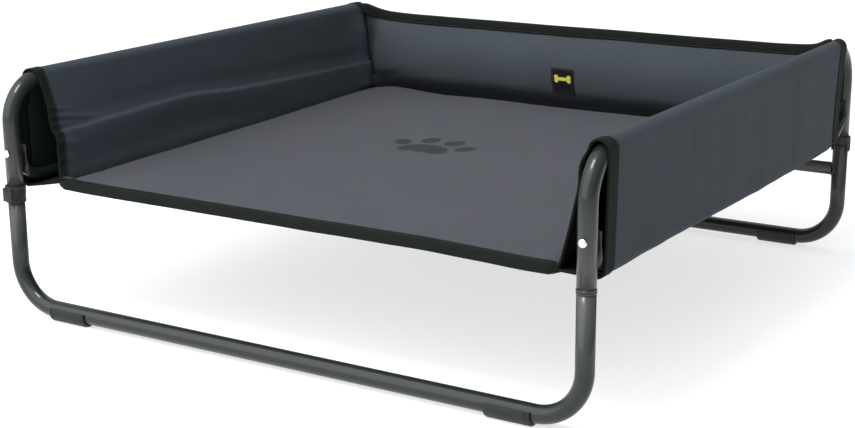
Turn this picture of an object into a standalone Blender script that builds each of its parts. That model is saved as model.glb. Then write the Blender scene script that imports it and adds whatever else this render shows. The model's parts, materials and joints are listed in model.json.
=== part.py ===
# A folding raised dog bed: two tube side frames on two bases that swing under them, and a cover
# of a padded sling, two side sleeves and a rear wall.
# Metres, +X is the bed's right side, +Y its rear, +Z up, and z = 0 is the floor under the feet.
import math

import bmesh
import bpy
from mathutils import Matrix, Vector

# Layout
LEG_SPAN_X = 0.840            # between the leg centres, left to right
LEG_SPAN_Y = 0.846            # between the leg centres, front to rear
SPLIT_Z = 0.166               # where the upper legs meet the bases
LOWER_RAIL_RISE = 0.0173      # lower rail's centre above the split
RIVET_RISE = 0.0377           # rivets above the lower rail's centre
SIDE_HEIGHT = 0.1304          # top rail's centre above the lower rail's centre
CROSS_BAR_DROP = 0.040        # rear cross bar's centre below the split

# Tubes
TUBE_RADIUS = 0.011
TUBE_WALL = 0.0012
TOP_BEND = 0.055              # centre-line bend radius of the side frames
BASE_BEND = 0.060             # centre-line bend radius of the bases
LOWER_RAIL_RADIUS = 0.008
LOWER_RAIL_WALL = 0.0010
LOWER_RAIL_BEND = 0.035
CROSS_BAR_RADIUS = 0.0095
LUG_HALF_THICKNESS = 0.0016   # the lower rail's flattened ends
LUG_WIDENING = 1.3
LUG_ABOVE_RIVET = 0.009
LUG_FLAT_DROP = 0.001         # flattening starts this far below the rail's upper side
LUG_FLAT_MARGIN = 0.00875     # and is complete this far below the bend's upper end

# Joints between the upper legs and the bases
PIN_PLAY = 0.0005             # swivel pin to the bore of the tubes
PIN_LENGTH = 0.056
PIN_CHAMFER = 0.0015
COLLAR_HEIGHT = 0.005
COLLAR_PROUD = 0.0004
COLLAR_GROOVE_HEIGHT = 0.0016
COLLAR_GROOVE_DEPTH = 0.0008
CLIP_HEIGHT = 0.022
CLIP_RADIUS = 0.0134
CLIP_REACH = 0.0160           # clip's flat outer face, from the leg centre
CLIP_FACE_HALF_WIDTH = 0.0075
CLIP_FACE_HEIGHT = 0.0176
CLIP_PLAY = 0.0005            # snap clip to the tubes
END_GAP = 0.0005              # each tube end to the split
CLIP_PIN_RADIUS = 0.0016
CLIP_PIN_INSIDE = 0.0010      # it ends this far inside the tube's bore
CLIP_PIN_RISE = 0.0055        # above the split

# Feet and rivets
FOOT_LENGTH = 0.060
FOOT_WALL = 0.0042
FOOT_DROP = 0.0036            # below the tube, where the round shoe is cut flat
FOOT_WRAP = math.radians(112)  # each way from straight down
RIVET_RADIUS = 0.0025
RIVET_HEAD_RADIUS = 0.005
RIVET_HEAD_HEIGHT = 0.0030
RIVET_TAIL_RADIUS = 0.0038
RIVET_TAIL_HEIGHT = 0.0015
RIVET_PLAY = 0.0004

# Cover
CLOTH = 0.0022                # wall of a side sleeve
SLEEVE_SLACK = 0.0006         # sleeve to the rails inside it
SEAM_INSET = 0.0525           # inner panels' seam, inwards from the leg line
SEAM_DROP = 0.0048            # the same seam, below the lower rail's centre
SEAM_RADIUS = 0.0015
RIGHT_FRONT_INSET = 0.023     # sleeve ends, inwards from the leg line
LEFT_FRONT_INSET = 0.038
SLEEVE_REAR_INSET = 0.048
BASE_CLOTH = 0.0020           # strong cloth under the pad
BASE_DROP = 0.0098            # its underside, below the lower rail's centre
PAD_THICKNESS = 0.0092
WALL_INSET = 0.0315           # rear wall's front face, inwards from the leg line
WALL_THICKNESS = 0.018
WALL_COVER = 0.0015
WALL_SIDE_GAP = 0.005         # rear wall to the side frames
WALL_TOP_DROP = 0.0003        # rear wall's tape, below the top rail's centre
WALL_TAPE_HEIGHT = 0.015
WALL_TAPE_THICKNESS = 0.009
TAPE = 0.0024                 # binding tape at each cut edge
PATCH_WIDTH = 0.040
PATCH_HEIGHT = 0.042
PATCH_THICKNESS = 0.0010
PATCH_X = -0.027
PATCH_RISE = 0.0194           # patch's lower edge, above the pad

GAP = 0.0003                  # between pieces that touch
TUBE_RESOLUTION = 6           # of a curve's bevel, which has four sides and two more for each
TUBE_SIDES = 4 + 2 * TUBE_RESOLUTION
BEND_STEPS = 8
CLIP_SIDES = 32
BORE_SIDES = 24
CLIP_PIN_SIDES = 12
PIN_SIDES = 20
RIVET_SIDES = 16
DOME_STEPS = 5
SHOE_OUTER_STEPS = 8
SHOE_INNER_STEPS = 18
CLOTH_TURN = math.radians(20)  # longest step round a rail in cloth

# Places worked out from the sizes above
LEG_X = LEG_SPAN_X / 2
LEG_Y = LEG_SPAN_Y / 2
LOWER_RAIL_Z = SPLIT_Z + LOWER_RAIL_RISE
RIVET_Z = LOWER_RAIL_Z + RIVET_RISE
TOP_RAIL_Z = LOWER_RAIL_Z + SIDE_HEIGHT
CROSS_BAR_Z = SPLIT_Z - CROSS_BAR_DROP
FLOOR_BAR_Z = FOOT_DROP + TUBE_RADIUS
LUG_Y = LEG_Y - TUBE_RADIUS - GAP - LUG_HALF_THICKNESS
SLING_FRONT_Y = -LEG_Y + RIGHT_FRONT_INSET
SLEEVE_REAR_Y = LEG_Y - SLEEVE_REAR_INSET
BASE_Z = LOWER_RAIL_Z - BASE_DROP
PAD_Z = BASE_Z + BASE_CLOTH + GAP
PAD_TOP_Z = PAD_Z + PAD_THICKNESS
SLING_HALF_WIDTH = LEG_X - SEAM_INSET - SEAM_RADIUS - SLEEVE_SLACK - CLOTH - 2 * GAP
WALL_FRONT_Y = LEG_Y - WALL_INSET
WALL_BACK_Y = WALL_FRONT_Y + WALL_THICKNESS
WALL_BOTTOM_Z = BASE_Z + BASE_CLOTH + GAP
WALL_TOP_Z = TOP_RAIL_Z - WALL_TOP_DROP
WALL_HALF_WIDTH = LEG_X - TUBE_RADIUS - WALL_SIDE_GAP

for old in list(bpy.data.objects):
    bpy.data.objects.remove(old, do_unlink=True)

parts = bpy.data.collections.new("raised_dog_bed")
cutters = bpy.data.collections.new("cutters")
bpy.context.scene.collection.children.link(parts)
bpy.context.scene.collection.children.link(cutters)


def surface(name, colour, roughness, metallic=0.0):
    made = bpy.data.materials.new(name)
    made.use_nodes = True
    shader = made.node_tree.nodes["Principled BSDF"]
    shader.inputs["Base Color"].default_value = (*colour, 1.0)
    shader.inputs["Roughness"].default_value = roughness
    shader.inputs["Metallic"].default_value = metallic
    return made


FRAME_PAINT = surface("frame_paint", (0.045, 0.050, 0.050), 0.35, 0.6)
RIVET_STEEL = surface("rivet_steel", (0.75, 0.75, 0.74), 0.25, 1.0)
BLACK_PLASTIC = surface("black_plastic", (0.018, 0.020, 0.020), 0.5)
SLEEVE_CLOTH = surface("sleeve_cloth", (0.042, 0.050, 0.056), 0.85)
BED_CLOTH = surface("bed_cloth", (0.095, 0.095, 0.115), 0.85)
FOAM = surface("foam", (0.30, 0.30, 0.30), 0.9)
TAPE_CLOTH = surface("tape_cloth", (0.012, 0.014, 0.013), 0.8)
PATCH_CLOTH = surface("patch_cloth", (0.010, 0.010, 0.010), 0.7)


def place(name, data, material, location=(0, 0, 0), rotation=(0, 0, 0)):
    """Put a mesh or curve among the parts under its own name."""
    made = bpy.data.objects.new(name, data)
    made.location = location
    made.rotation_euler = rotation
    if material is not None:
        data.materials.clear()
        data.materials.append(material)
    parts.objects.link(made)
    return made


def as_cutter(made):
    parts.objects.unlink(made)
    cutters.objects.link(made)
    made.hide_render = True
    made.display_type = "WIRE"
    return made


def boolean(target, cutter, operation="DIFFERENCE"):
    step = target.modifiers.new(cutter.name, "BOOLEAN")
    step.operation = operation
    step.solver = "EXACT"
    step.object = cutter
    return step


def arc(centre_u, centre_v, radius, start, end, steps):
    """Points along an arc in a plane, with both ends."""
    points = []
    for i in range(steps + 1):
        angle = start + (end - start) * i / steps
        points.append((centre_u + radius * math.cos(angle), centre_v + radius * math.sin(angle)))
    return points


def u_route(half_span, cross_v, bend, first_end_v, last_end_v):
    """A U in a plane: a leg at -half_span, a crossing at cross_v, and a leg at +half_span."""
    side = 1 if first_end_v > cross_v else -1
    inner_v = cross_v + side * bend
    inner_u = half_span - bend
    left = arc(-inner_u, inner_v, bend, math.pi, math.pi + side * math.pi / 2, BEND_STEPS)
    right = arc(inner_u, inner_v, bend, -side * math.pi / 2, 0, BEND_STEPS)
    return [(-half_span, first_end_v)] + left + right + [(half_span, last_end_v)]


def pipe_mesh(name, route, radius):
    """The open outer surface of a tube along a route."""
    curve = bpy.data.curves.new(name, "CURVE")
    curve.dimensions = "3D"
    curve.bevel_depth = radius
    curve.bevel_resolution = TUBE_RESOLUTION
    curve.use_fill_caps = False
    spline = curve.splines.new("POLY")
    spline.points.add(len(route) - 1)
    for point, (x, y, z) in zip(spline.points, route):
        point.co = (x, y, z, 1)
    guide = bpy.data.objects.new(name, curve)
    parts.objects.link(guide)
    graph = bpy.context.evaluated_depsgraph_get()
    mesh = bpy.data.meshes.new_from_object(guide.evaluated_get(graph))
    bpy.data.objects.remove(guide, do_unlink=True)
    shell = bmesh.new()
    shell.from_mesh(mesh)
    bmesh.ops.remove_doubles(shell, verts=shell.verts, dist=1e-6)
    shell.to_mesh(mesh)
    shell.free()
    return mesh


def add_wall(made, wall):
    step = made.modifiers.new("wall", "SOLIDIFY")
    step.thickness = wall
    step.offset = -1
    return made


def shade_round(mesh):
    mesh.shade_smooth()
    mesh.set_sharp_from_angle(angle=math.radians(35))


def tube(name, route, radius, wall, material):
    mesh = pipe_mesh(name, route, radius)
    shade_round(mesh)
    return add_wall(place(name, mesh, material), wall)


def rod(name, radius, length, centre, direction, material=None, sides=BORE_SIDES):
    """A plain cylinder along a direction."""
    mesh = bpy.data.meshes.new(name)
    solid = bmesh.new()
    bmesh.ops.create_cone(
        solid, cap_ends=True, segments=sides, radius1=radius, radius2=radius, depth=length
    )
    solid.to_mesh(mesh)
    solid.free()
    made = place(name, mesh, material, centre)
    made.rotation_euler = Vector(direction).to_track_quat("Z", "Y").to_euler()
    return made


def block(name, low, high, material=None):
    """A box between two corners."""
    low = Vector(low)
    high = Vector(high)
    mesh = bpy.data.meshes.new(name)
    solid = bmesh.new()
    bmesh.ops.create_cube(solid, size=1)
    bmesh.ops.scale(solid, verts=solid.verts, vec=high - low)
    solid.to_mesh(mesh)
    solid.free()
    return place(name, mesh, material, (low + high) / 2)


def turned(name, profile, centre, direction, material, steps):
    """A turned piece. The profile runs down its outer side, and starts and ends on the axis."""
    mesh = bpy.data.meshes.new(name)
    outline = bmesh.new()
    verts = [outline.verts.new((radius, 0, height)) for radius, height in profile]
    for a, b in zip(verts, verts[1:]):
        outline.edges.new((a, b))
    outline.to_mesh(mesh)
    outline.free()
    made = place(name, mesh, material, centre)
    made.rotation_euler = Vector(direction).to_track_quat("Z", "Y").to_euler()
    step = made.modifiers.new("turn", "SCREW")
    step.steps = steps
    step.render_steps = steps
    step.use_merge_vertices = True
    step.merge_threshold = 0.00001
    return made


def slab(name, loops, thickness, centre, rotation, material):
    """A flat outline, with holes where there is more than one loop, given a thickness."""
    curve = bpy.data.curves.new(name, "CURVE")
    curve.dimensions = "2D"
    curve.fill_mode = "BOTH"
    curve.extrude = thickness / 2
    for loop in loops:
        spline = curve.splines.new("POLY")
        spline.points.add(len(loop) - 1)
        for point, (u, v) in zip(spline.points, loop):
            point.co = (u, v, 0, 1)
        spline.use_cyclic_u = True
    return place(name, curve, material, centre, rotation)


ALONG_Y = (math.pi / 2, 0, 0)              # outline in x and z, thickness along y
ALONG_X = (math.pi / 2, 0, math.pi / 2)    # outline in y and z, thickness along x


def taut_loop(circles, extra, side):
    """Cloth pulled tight round circles of (u, v, radius), going round anticlockwise."""
    tangents = []
    for i, (u, v, radius) in enumerate(circles):
        next_u, next_v, next_radius = circles[(i + 1) % len(circles)]
        run = Vector((next_u - u, next_v - v))
        lean = math.asin((radius - next_radius) / run.length)
        tangents.append(math.atan2(run.y, run.x) - math.pi / 2 + lean)
    points = []
    for i, (u, v, radius) in enumerate(circles):
        start = tangents[i - 1]
        turn = (tangents[i] - start) % (2 * math.pi)
        steps = max(2, math.ceil(turn / CLOTH_TURN))
        points += arc(u, v, radius + extra, start, start + turn, steps)
    return [(side * u, v) for u, v in points]


def swing_pivot(name, x, y):
    """An empty on a base's swivel axis."""
    made = bpy.data.objects.new(name, None)
    made.location = (x, y, SPLIT_Z)
    parts.objects.link(made)
    return made


def hang(made, pivot):
    made.parent = pivot
    made.matrix_parent_inverse = Matrix.Translation(-pivot.location)


# The bed's left half of the frame is its right half turned half a turn about Z, so each function
# below takes turn = 1 for the right side or front base and -1 for the left side or rear base.
def side_frame(name, turn):
    """An inverted U: its upper legs end above the swivel collar and above the split."""
    swivel_end = SPLIT_Z + COLLAR_HEIGHT / 2 + GAP
    plain_end = SPLIT_Z + END_GAP
    route = u_route(LEG_Y, TOP_RAIL_Z, TOP_BEND, swivel_end, plain_end)
    made = tube(
        name, [(turn * LEG_X, turn * y, z) for y, z in route], TUBE_RADIUS, TUBE_WALL, FRAME_PAINT
    )
    for end in (-1, 1):
        hole = rod(
            f"{name}_rivet_hole_{'front' if end * turn < 0 else 'rear'}",
            RIVET_RADIUS + RIVET_PLAY,
            4 * TUBE_RADIUS,
            (turn * LEG_X, end * LEG_Y, RIVET_Z),
            (0, 1, 0),
        )
        boolean(made, as_cutter(hole))
    return made


def base_frame(name, turn, pivot):
    """A U on the floor: one leg turns on the swivel pin and the other snaps into the clip."""
    swivel_end = SPLIT_Z - COLLAR_HEIGHT / 2 - GAP
    plain_end = SPLIT_Z - END_GAP
    route = u_route(LEG_X, FLOOR_BAR_Z, BASE_BEND, plain_end, swivel_end)
    made = tube(
        name, [(turn * x, -turn * LEG_Y, z) for x, z in route], TUBE_RADIUS, TUBE_WALL, FRAME_PAINT
    )
    hang(made, pivot)
    return made


def swivel_pin(name, turn):
    """A pin in both tube ends, with a grooved collar that shows between them."""
    bore_radius = (TUBE_RADIUS - TUBE_WALL) * math.cos(math.pi / TUBE_SIDES)
    pin_radius = bore_radius - PIN_PLAY
    collar_radius = TUBE_RADIUS + COLLAR_PROUD
    half = PIN_LENGTH / 2
    collar = COLLAR_HEIGHT / 2
    groove = COLLAR_GROOVE_HEIGHT / 2
    upper = [
        (0, half),
        (pin_radius - PIN_CHAMFER, half),
        (pin_radius, half - PIN_CHAMFER),
        (pin_radius, collar),
        (collar_radius, collar),
        (collar_radius, groove),
    ]
    lower = [(radius, -height) for radius, height in reversed(upper)]
    profile = upper + [(collar_radius - COLLAR_GROOVE_DEPTH, 0)] + lower
    centre = (turn * LEG_X, -turn * LEG_Y, SPLIT_Z)
    return turned(name, profile, centre, (0, 0, 1), FRAME_PAINT, PIN_SIDES)


def snap_clip(name, turn):
    """A clip fixed on an upper leg. Its lower half is open inwards, where the base snaps in."""
    x = -turn * LEG_X
    y = -turn * LEG_Y
    centre = (x, y, SPLIT_Z)
    made = rod(name, CLIP_RADIUS, CLIP_HEIGHT, centre, (0, 0, 1), BLACK_PLASTIC, CLIP_SIDES)
    face_y = y - turn * CLIP_REACH
    face_half = CLIP_FACE_HEIGHT / 2
    outer_face = block(
        f"{name}_outer_face",
        (x - CLIP_FACE_HALF_WIDTH, min(y, face_y), SPLIT_Z - face_half),
        (x + CLIP_FACE_HALF_WIDTH, max(y, face_y), SPLIT_Z + face_half),
    )
    bore_radius = TUBE_RADIUS + CLIP_PLAY
    bore = rod(f"{name}_bore", bore_radius, 2 * CLIP_HEIGHT, centre, (0, 0, 1))
    mouth_y = y + turn * 2 * CLIP_RADIUS
    mouth = block(
        f"{name}_mouth",
        (x - bore_radius, min(y, mouth_y), SPLIT_Z - CLIP_HEIGHT),
        (x + bore_radius, max(y, mouth_y), SPLIT_Z),
    )
    pin_hole = rod(
        f"{name}_pin_hole",
        CLIP_PIN_RADIUS + RIVET_PLAY,
        4 * (CLIP_REACH - TUBE_RADIUS),
        (x, face_y, SPLIT_Z + CLIP_PIN_RISE),
        (0, 1, 0),
    )
    boolean(made, as_cutter(outer_face), "UNION")
    boolean(made, as_cutter(bore))
    boolean(made, as_cutter(mouth))
    boolean(made, as_cutter(pin_hole))
    return made, pin_hole


def clip_pin(name, turn):
    """A small pin that holds the clip on its leg. It ends inside the tube."""
    outer = CLIP_REACH - GAP
    inner = TUBE_RADIUS - TUBE_WALL - CLIP_PIN_INSIDE
    centre = (-turn * LEG_X, -turn * (LEG_Y + (outer + inner) / 2), SPLIT_Z + CLIP_PIN_RISE)
    length = outer - inner
    return rod(name, CLIP_PIN_RADIUS, length, centre, (0, 1, 0), BLACK_PLASTIC, CLIP_PIN_SIDES)


def rail_line_y(z):
    """The lower rail's centre line at a height on its bent ends, from the rail's middle."""
    below = min(LOWER_RAIL_BEND, max(0, LOWER_RAIL_Z + LOWER_RAIL_BEND - z))
    return LUG_Y - LOWER_RAIL_BEND + math.sqrt(LOWER_RAIL_BEND ** 2 - below ** 2)


def lower_rail(name, turn):
    """A rail in the sleeve's foot. Its ends bend up and are flattened against the legs."""
    lug_top = RIVET_Z + LUG_ABOVE_RIVET
    lug_middle = (lug_top + LOWER_RAIL_Z + LOWER_RAIL_BEND) / 2
    bends = u_route(LUG_Y, LOWER_RAIL_Z, LOWER_RAIL_BEND, lug_top, lug_top)[1:-1]
    front_lug = [(-LUG_Y, lug_top), (-LUG_Y, lug_middle)]
    rear_lug = [(LUG_Y, lug_middle), (LUG_Y, lug_top)]
    path = [(turn * LEG_X, y, z) for y, z in front_lug + bends + rear_lug]
    mesh = pipe_mesh(name, path, LOWER_RAIL_RADIUS)
    flat_from = LOWER_RAIL_Z + LOWER_RAIL_RADIUS - LUG_FLAT_DROP
    flat_to = LOWER_RAIL_Z + LOWER_RAIL_BEND - LUG_FLAT_MARGIN
    for vert in mesh.vertices:
        share = min(1, max(0, (vert.co.z - flat_from) / (flat_to - flat_from)))
        share = share * share * (3 - 2 * share)
        centre_y = math.copysign(rail_line_y(vert.co.z), vert.co.y)
        thin = 1 + share * (LUG_HALF_THICKNESS / LOWER_RAIL_RADIUS - 1)
        wide = 1 + share * (LUG_WIDENING - 1)
        vert.co.y = centre_y + (vert.co.y - centre_y) * thin
        vert.co.x = turn * LEG_X + (vert.co.x - turn * LEG_X) * wide
    shade_round(mesh)
    made = add_wall(place(name, mesh, FRAME_PAINT), LOWER_RAIL_WALL)
    for end in (-1, 1):
        hole = rod(
            f"{name}_rivet_hole_{'front' if end < 0 else 'rear'}",
            RIVET_RADIUS + RIVET_PLAY,
            4 * LOWER_RAIL_RADIUS,
            (turn * LEG_X, end * LUG_Y, RIVET_Z),
            (0, 1, 0),
        )
        boolean(made, as_cutter(hole))
    return made


def rivet(name, side, end):
    """A dome-headed rivet through a leg and a lug, with its tail inside."""
    head = LEG_Y + TUBE_RADIUS + GAP
    tail = LUG_Y - LUG_HALF_THICKNESS - GAP
    dome = [
        (RIVET_HEAD_RADIUS * math.sin(a), head + RIVET_HEAD_HEIGHT * math.cos(a))
        for a in [math.pi / 2 * i / DOME_STEPS for i in range(DOME_STEPS + 1)]
    ]
    profile = dome + [
        (RIVET_RADIUS, head),
        (RIVET_RADIUS, tail),
        (RIVET_TAIL_RADIUS, tail),
        (RIVET_TAIL_RADIUS, tail - RIVET_TAIL_HEIGHT),
        (0, tail - RIVET_TAIL_HEIGHT),
    ]
    centre = (side * LEG_X, 0, RIVET_Z)
    return turned(name, profile, centre, (0, end, 0), RIVET_STEEL, RIVET_SIDES)


def cross_bar(name, pivot):
    """A bar between the rear base's legs, with its ends shaped to them."""
    mesh = pipe_mesh(
        name, [(-LEG_X, LEG_Y, CROSS_BAR_Z), (LEG_X, LEG_Y, CROSS_BAR_Z)], CROSS_BAR_RADIUS
    )
    shade_round(mesh)
    made = add_wall(place(name, mesh, FRAME_PAINT), TUBE_WALL)
    for side in (-1, 1):
        saddle = rod(
            f"{name}_saddle_{'left' if side < 0 else 'right'}",
            TUBE_RADIUS + GAP,
            6 * TUBE_RADIUS,
            (side * LEG_X, LEG_Y, CROSS_BAR_Z),
            (0, 0, 1),
            None,
            CLIP_SIDES,
        )
        boolean(made, as_cutter(saddle))
    hang(made, pivot)
    return made


def foot(name, side, end, pivot):
    """A shoe clipped round the floor bar, cut flat underneath, just inside the bend."""
    inner = TUBE_RADIUS + GAP
    outer = TUBE_RADIUS + FOOT_WALL
    down = -math.pi / 2
    flat = math.acos(FLOOR_BAR_Z / outer)
    loop = arc(0, 0, outer, down + flat, down + FOOT_WRAP, SHOE_OUTER_STEPS)
    loop += arc(0, 0, inner, down + FOOT_WRAP, down - FOOT_WRAP, SHOE_INNER_STEPS)
    loop += arc(0, 0, outer, down - FOOT_WRAP, down - flat, SHOE_OUTER_STEPS)
    centre = (side * (LEG_X - BASE_BEND - FOOT_LENGTH / 2), end * LEG_Y, FLOOR_BAR_Z)
    made = slab(name, [loop], FOOT_LENGTH, centre, ALONG_X, BLACK_PLASTIC)
    hang(made, pivot)
    return made


def sleeve_loops(side):
    """The side sleeve's outer and inner lines, round both rails and the inner panel's seam."""
    circles = [
        (LEG_X, LOWER_RAIL_Z, LOWER_RAIL_RADIUS),
        (LEG_X, TOP_RAIL_Z, TUBE_RADIUS),
        (LEG_X - SEAM_INSET, LOWER_RAIL_Z - SEAM_DROP, SEAM_RADIUS),
    ]
    return [taut_loop(circles, SLEEVE_SLACK + CLOTH, side), taut_loop(circles, SLEEVE_SLACK, side)]


def side_cover(word, side):
    """One side sleeve and the tape on both of its ends."""
    front_y = -LEG_Y + (RIGHT_FRONT_INSET if side > 0 else LEFT_FRONT_INSET)
    middle = (front_y + SLEEVE_REAR_Y) / 2
    length = SLEEVE_REAR_Y - front_y
    loops = sleeve_loops(side)
    slab(f"{word}_side_sleeve", loops, length, (0, middle, 0), ALONG_Y, SLEEVE_CLOTH)
    front = front_y - GAP - TAPE / 2
    rear = SLEEVE_REAR_Y + GAP + TAPE / 2
    slab(f"{word}_sleeve_front_tape", loops, TAPE, (0, front, 0), ALONG_Y, TAPE_CLOTH)
    slab(f"{word}_sleeve_rear_tape", loops, TAPE, (0, rear, 0), ALONG_Y, TAPE_CLOTH)


def sling():
    """The strong base cloth, the pad on it, and the tape along their front edges."""
    width = SLING_HALF_WIDTH
    block(
        "sling_base_cloth",
        (-width, SLING_FRONT_Y, BASE_Z),
        (width, WALL_BACK_Y, BASE_Z + BASE_CLOTH),
        BED_CLOTH,
    )
    block(
        "sling_pad",
        (-width, SLING_FRONT_Y, PAD_Z),
        (width, WALL_FRONT_Y - GAP, PAD_TOP_Z),
        BED_CLOTH,
    )
    block(
        "sling_front_tape",
        (-width, SLING_FRONT_Y - GAP - TAPE, BASE_Z),
        (width, SLING_FRONT_Y - GAP, PAD_TOP_Z),
        TAPE_CLOTH,
    )


def wall_loop(inset, top_z):
    """The rear wall's section, drawn in by an inset."""
    front = WALL_FRONT_Y + inset
    back = WALL_BACK_Y - inset
    bottom = WALL_BOTTOM_Z + inset
    top = top_z - inset
    return [(front, bottom), (back, bottom), (back, top), (front, top)]


def rear_wall():
    """The rear wall's cover, open at both ends, with its foam, its top tape and its patch."""
    tape_bottom = WALL_TOP_Z - WALL_TAPE_HEIGHT
    cover_top = tape_bottom - GAP
    loops = [wall_loop(0, cover_top), wall_loop(WALL_COVER, cover_top)]
    slab("rear_wall_cover", loops, 2 * WALL_HALF_WIDTH, (0, 0, 0), ALONG_X, SLEEVE_CLOTH)
    inset = WALL_COVER + GAP
    block(
        "rear_wall_foam",
        (-WALL_HALF_WIDTH, WALL_FRONT_Y + inset, WALL_BOTTOM_Z + inset),
        (WALL_HALF_WIDTH, WALL_BACK_Y - inset, cover_top - inset),
        FOAM,
    )
    tape_inset = (WALL_THICKNESS - WALL_TAPE_THICKNESS) / 2
    block(
        "rear_wall_top_tape",
        (-WALL_HALF_WIDTH, WALL_FRONT_Y + tape_inset, tape_bottom),
        (WALL_HALF_WIDTH, WALL_BACK_Y - tape_inset, WALL_TOP_Z),
        TAPE_CLOTH,
    )
    patch_front = WALL_FRONT_Y - GAP - PATCH_THICKNESS
    patch_bottom = PAD_TOP_Z + PATCH_RISE
    block(
        "rear_wall_patch",
        (PATCH_X - PATCH_WIDTH / 2, patch_front, patch_bottom),
        (PATCH_X + PATCH_WIDTH / 2, WALL_FRONT_Y - GAP, patch_bottom + PATCH_HEIGHT),
        PATCH_CLOTH,
    )


SIDES = {"right": 1, "left": -1}
ENDS = {"front": -1, "rear": 1}

front_pivot = swing_pivot("front_base_pivot", LEG_X, -LEG_Y)
rear_pivot = swing_pivot("rear_base_pivot", -LEG_X, LEG_Y)
base_frame("front_base", 1, front_pivot)
base_frame("rear_base", -1, rear_pivot)
cross_bar("rear_cross_bar", rear_pivot)
for side_word, side in SIDES.items():
    foot(f"front_{side_word}_foot", side, -1, front_pivot)
    foot(f"rear_{side_word}_foot", side, 1, rear_pivot)
    frame = side_frame(f"{side_word}_side_frame", side)
    lower_rail(f"{side_word}_lower_rail", side)
    side_cover(side_word, side)
    for end_word, end in ENDS.items():
        rivet(f"{end_word}_{side_word}_rivet", side, end)
    # Each side has one swivel, and its clip is on the other end's leg.
    swivel_word = "front" if side > 0 else "rear"
    clip_word = "rear" if side > 0 else "front"
    swivel_pin(f"{swivel_word}_{side_word}_swivel_pin", side)
    clip, pin_hole = snap_clip(f"{clip_word}_{side_word}_snap_clip", -side)
    clip_pin(f"{clip_word}_{side_word}_clip_pin", -side)
    boolean(frame, pin_hole)
sling()
rear_wall()
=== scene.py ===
import json
import math

import bmesh
import bpy
from mathutils import Matrix, Vector, noise
from mathutils.bvhtree import BVHTree

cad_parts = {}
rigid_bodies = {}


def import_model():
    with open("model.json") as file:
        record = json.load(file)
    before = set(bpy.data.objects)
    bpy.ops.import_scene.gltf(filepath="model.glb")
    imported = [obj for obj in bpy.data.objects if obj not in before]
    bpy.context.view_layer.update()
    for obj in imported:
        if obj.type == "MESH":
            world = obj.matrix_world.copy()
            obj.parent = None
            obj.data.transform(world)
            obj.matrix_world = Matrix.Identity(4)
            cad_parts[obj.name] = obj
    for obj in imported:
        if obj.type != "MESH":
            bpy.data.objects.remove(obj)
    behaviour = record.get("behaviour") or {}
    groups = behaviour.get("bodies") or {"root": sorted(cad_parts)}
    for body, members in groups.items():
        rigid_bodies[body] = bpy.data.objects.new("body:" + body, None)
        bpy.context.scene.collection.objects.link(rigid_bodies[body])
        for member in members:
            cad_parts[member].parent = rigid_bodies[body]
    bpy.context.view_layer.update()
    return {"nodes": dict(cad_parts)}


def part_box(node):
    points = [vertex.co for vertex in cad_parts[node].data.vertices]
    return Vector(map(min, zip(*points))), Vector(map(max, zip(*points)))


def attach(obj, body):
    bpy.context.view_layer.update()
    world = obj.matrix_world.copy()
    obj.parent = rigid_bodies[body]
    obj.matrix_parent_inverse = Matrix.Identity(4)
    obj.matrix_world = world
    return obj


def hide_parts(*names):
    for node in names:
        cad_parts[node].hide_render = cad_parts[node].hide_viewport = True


for old in list(bpy.data.objects):
    bpy.data.objects.remove(old, do_unlink=True)

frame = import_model()
print("frame loaded")

bedBody = "bed_body"
frontBase = "front_swing_base"
rearBase = "rear_swing_base"


# Small helpers

def boxOf(node):
    low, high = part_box(node)
    return low, high, (low + high) / 2


def smooth(start, end, value):
    share = min(1.0, max(0.0, (value - start) / (end - start)))
    return share * share * (3 - 2 * share)


def hump(value, centre, width):
    return math.exp(-((value - centre) / width) ** 2)


def softNoise(x, y, seed):
    return noise.noise(Vector((x, y, seed)))


def between(value, pairs):
    # a smooth line through (place, height) pairs in rising order
    last = len(pairs) - 1
    if value <= pairs[0][0] or value >= pairs[last][0]:
        return pairs[0 if value <= pairs[0][0] else last][1]
    i = next(k for k in range(last) if value <= pairs[k + 1][0])
    slopes = []
    for k in (i, i + 1):
        before, after = pairs[max(0, k - 1)], pairs[min(last, k + 1)]
        slopes.append((after[1] - before[1]) / (after[0] - before[0]))
    (placeA, heightA), (placeB, heightB) = pairs[i], pairs[i + 1]
    run = placeB - placeA
    t = (value - placeA) / run
    bends = run * (slopes[0] * t * (1 - t) ** 2 - slopes[1] * t * t * (1 - t))
    return heightA * (1 + 2 * t) * (1 - t) ** 2 + heightB * t * t * (3 - 2 * t) + bends


def ripples(x, y, waves):
    # soft waves added up, each with its height, its scale along x and y, and its seed
    return sum(high * softNoise(x * acrossX, y * acrossY, seed)
               for high, acrossX, acrossY, seed in waves)


def camelName(node):
    first, *rest = node.split("_")
    return first + "".join(part.title() for part in rest)


def addPiece(name, mesh, *materials):
    piece = bpy.data.objects.new(name, mesh)
    bpy.context.scene.collection.objects.link(piece)
    for material in materials:
        mesh.materials.append(material)
    return piece


def turnOutwards(mesh):
    shell = bmesh.new()
    shell.from_mesh(mesh)
    bmesh.ops.remove_doubles(shell, verts=shell.verts, dist=1e-6)
    bmesh.ops.dissolve_degenerate(shell, edges=shell.edges, dist=1e-7)
    if all(edge.is_manifold for edge in shell.edges):
        outward = shell.calc_volume(signed=True)
    else:
        middle = sum((v.co for v in shell.verts), Vector()) / len(shell.verts)
        outward = sum(
            f.calc_area() * f.normal.dot(f.calc_center_median() - middle) for f in shell.faces
        )
    if outward < 0:
        bmesh.ops.reverse_faces(shell, faces=shell.faces)
    shell.to_mesh(mesh)
    shell.free()


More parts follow.
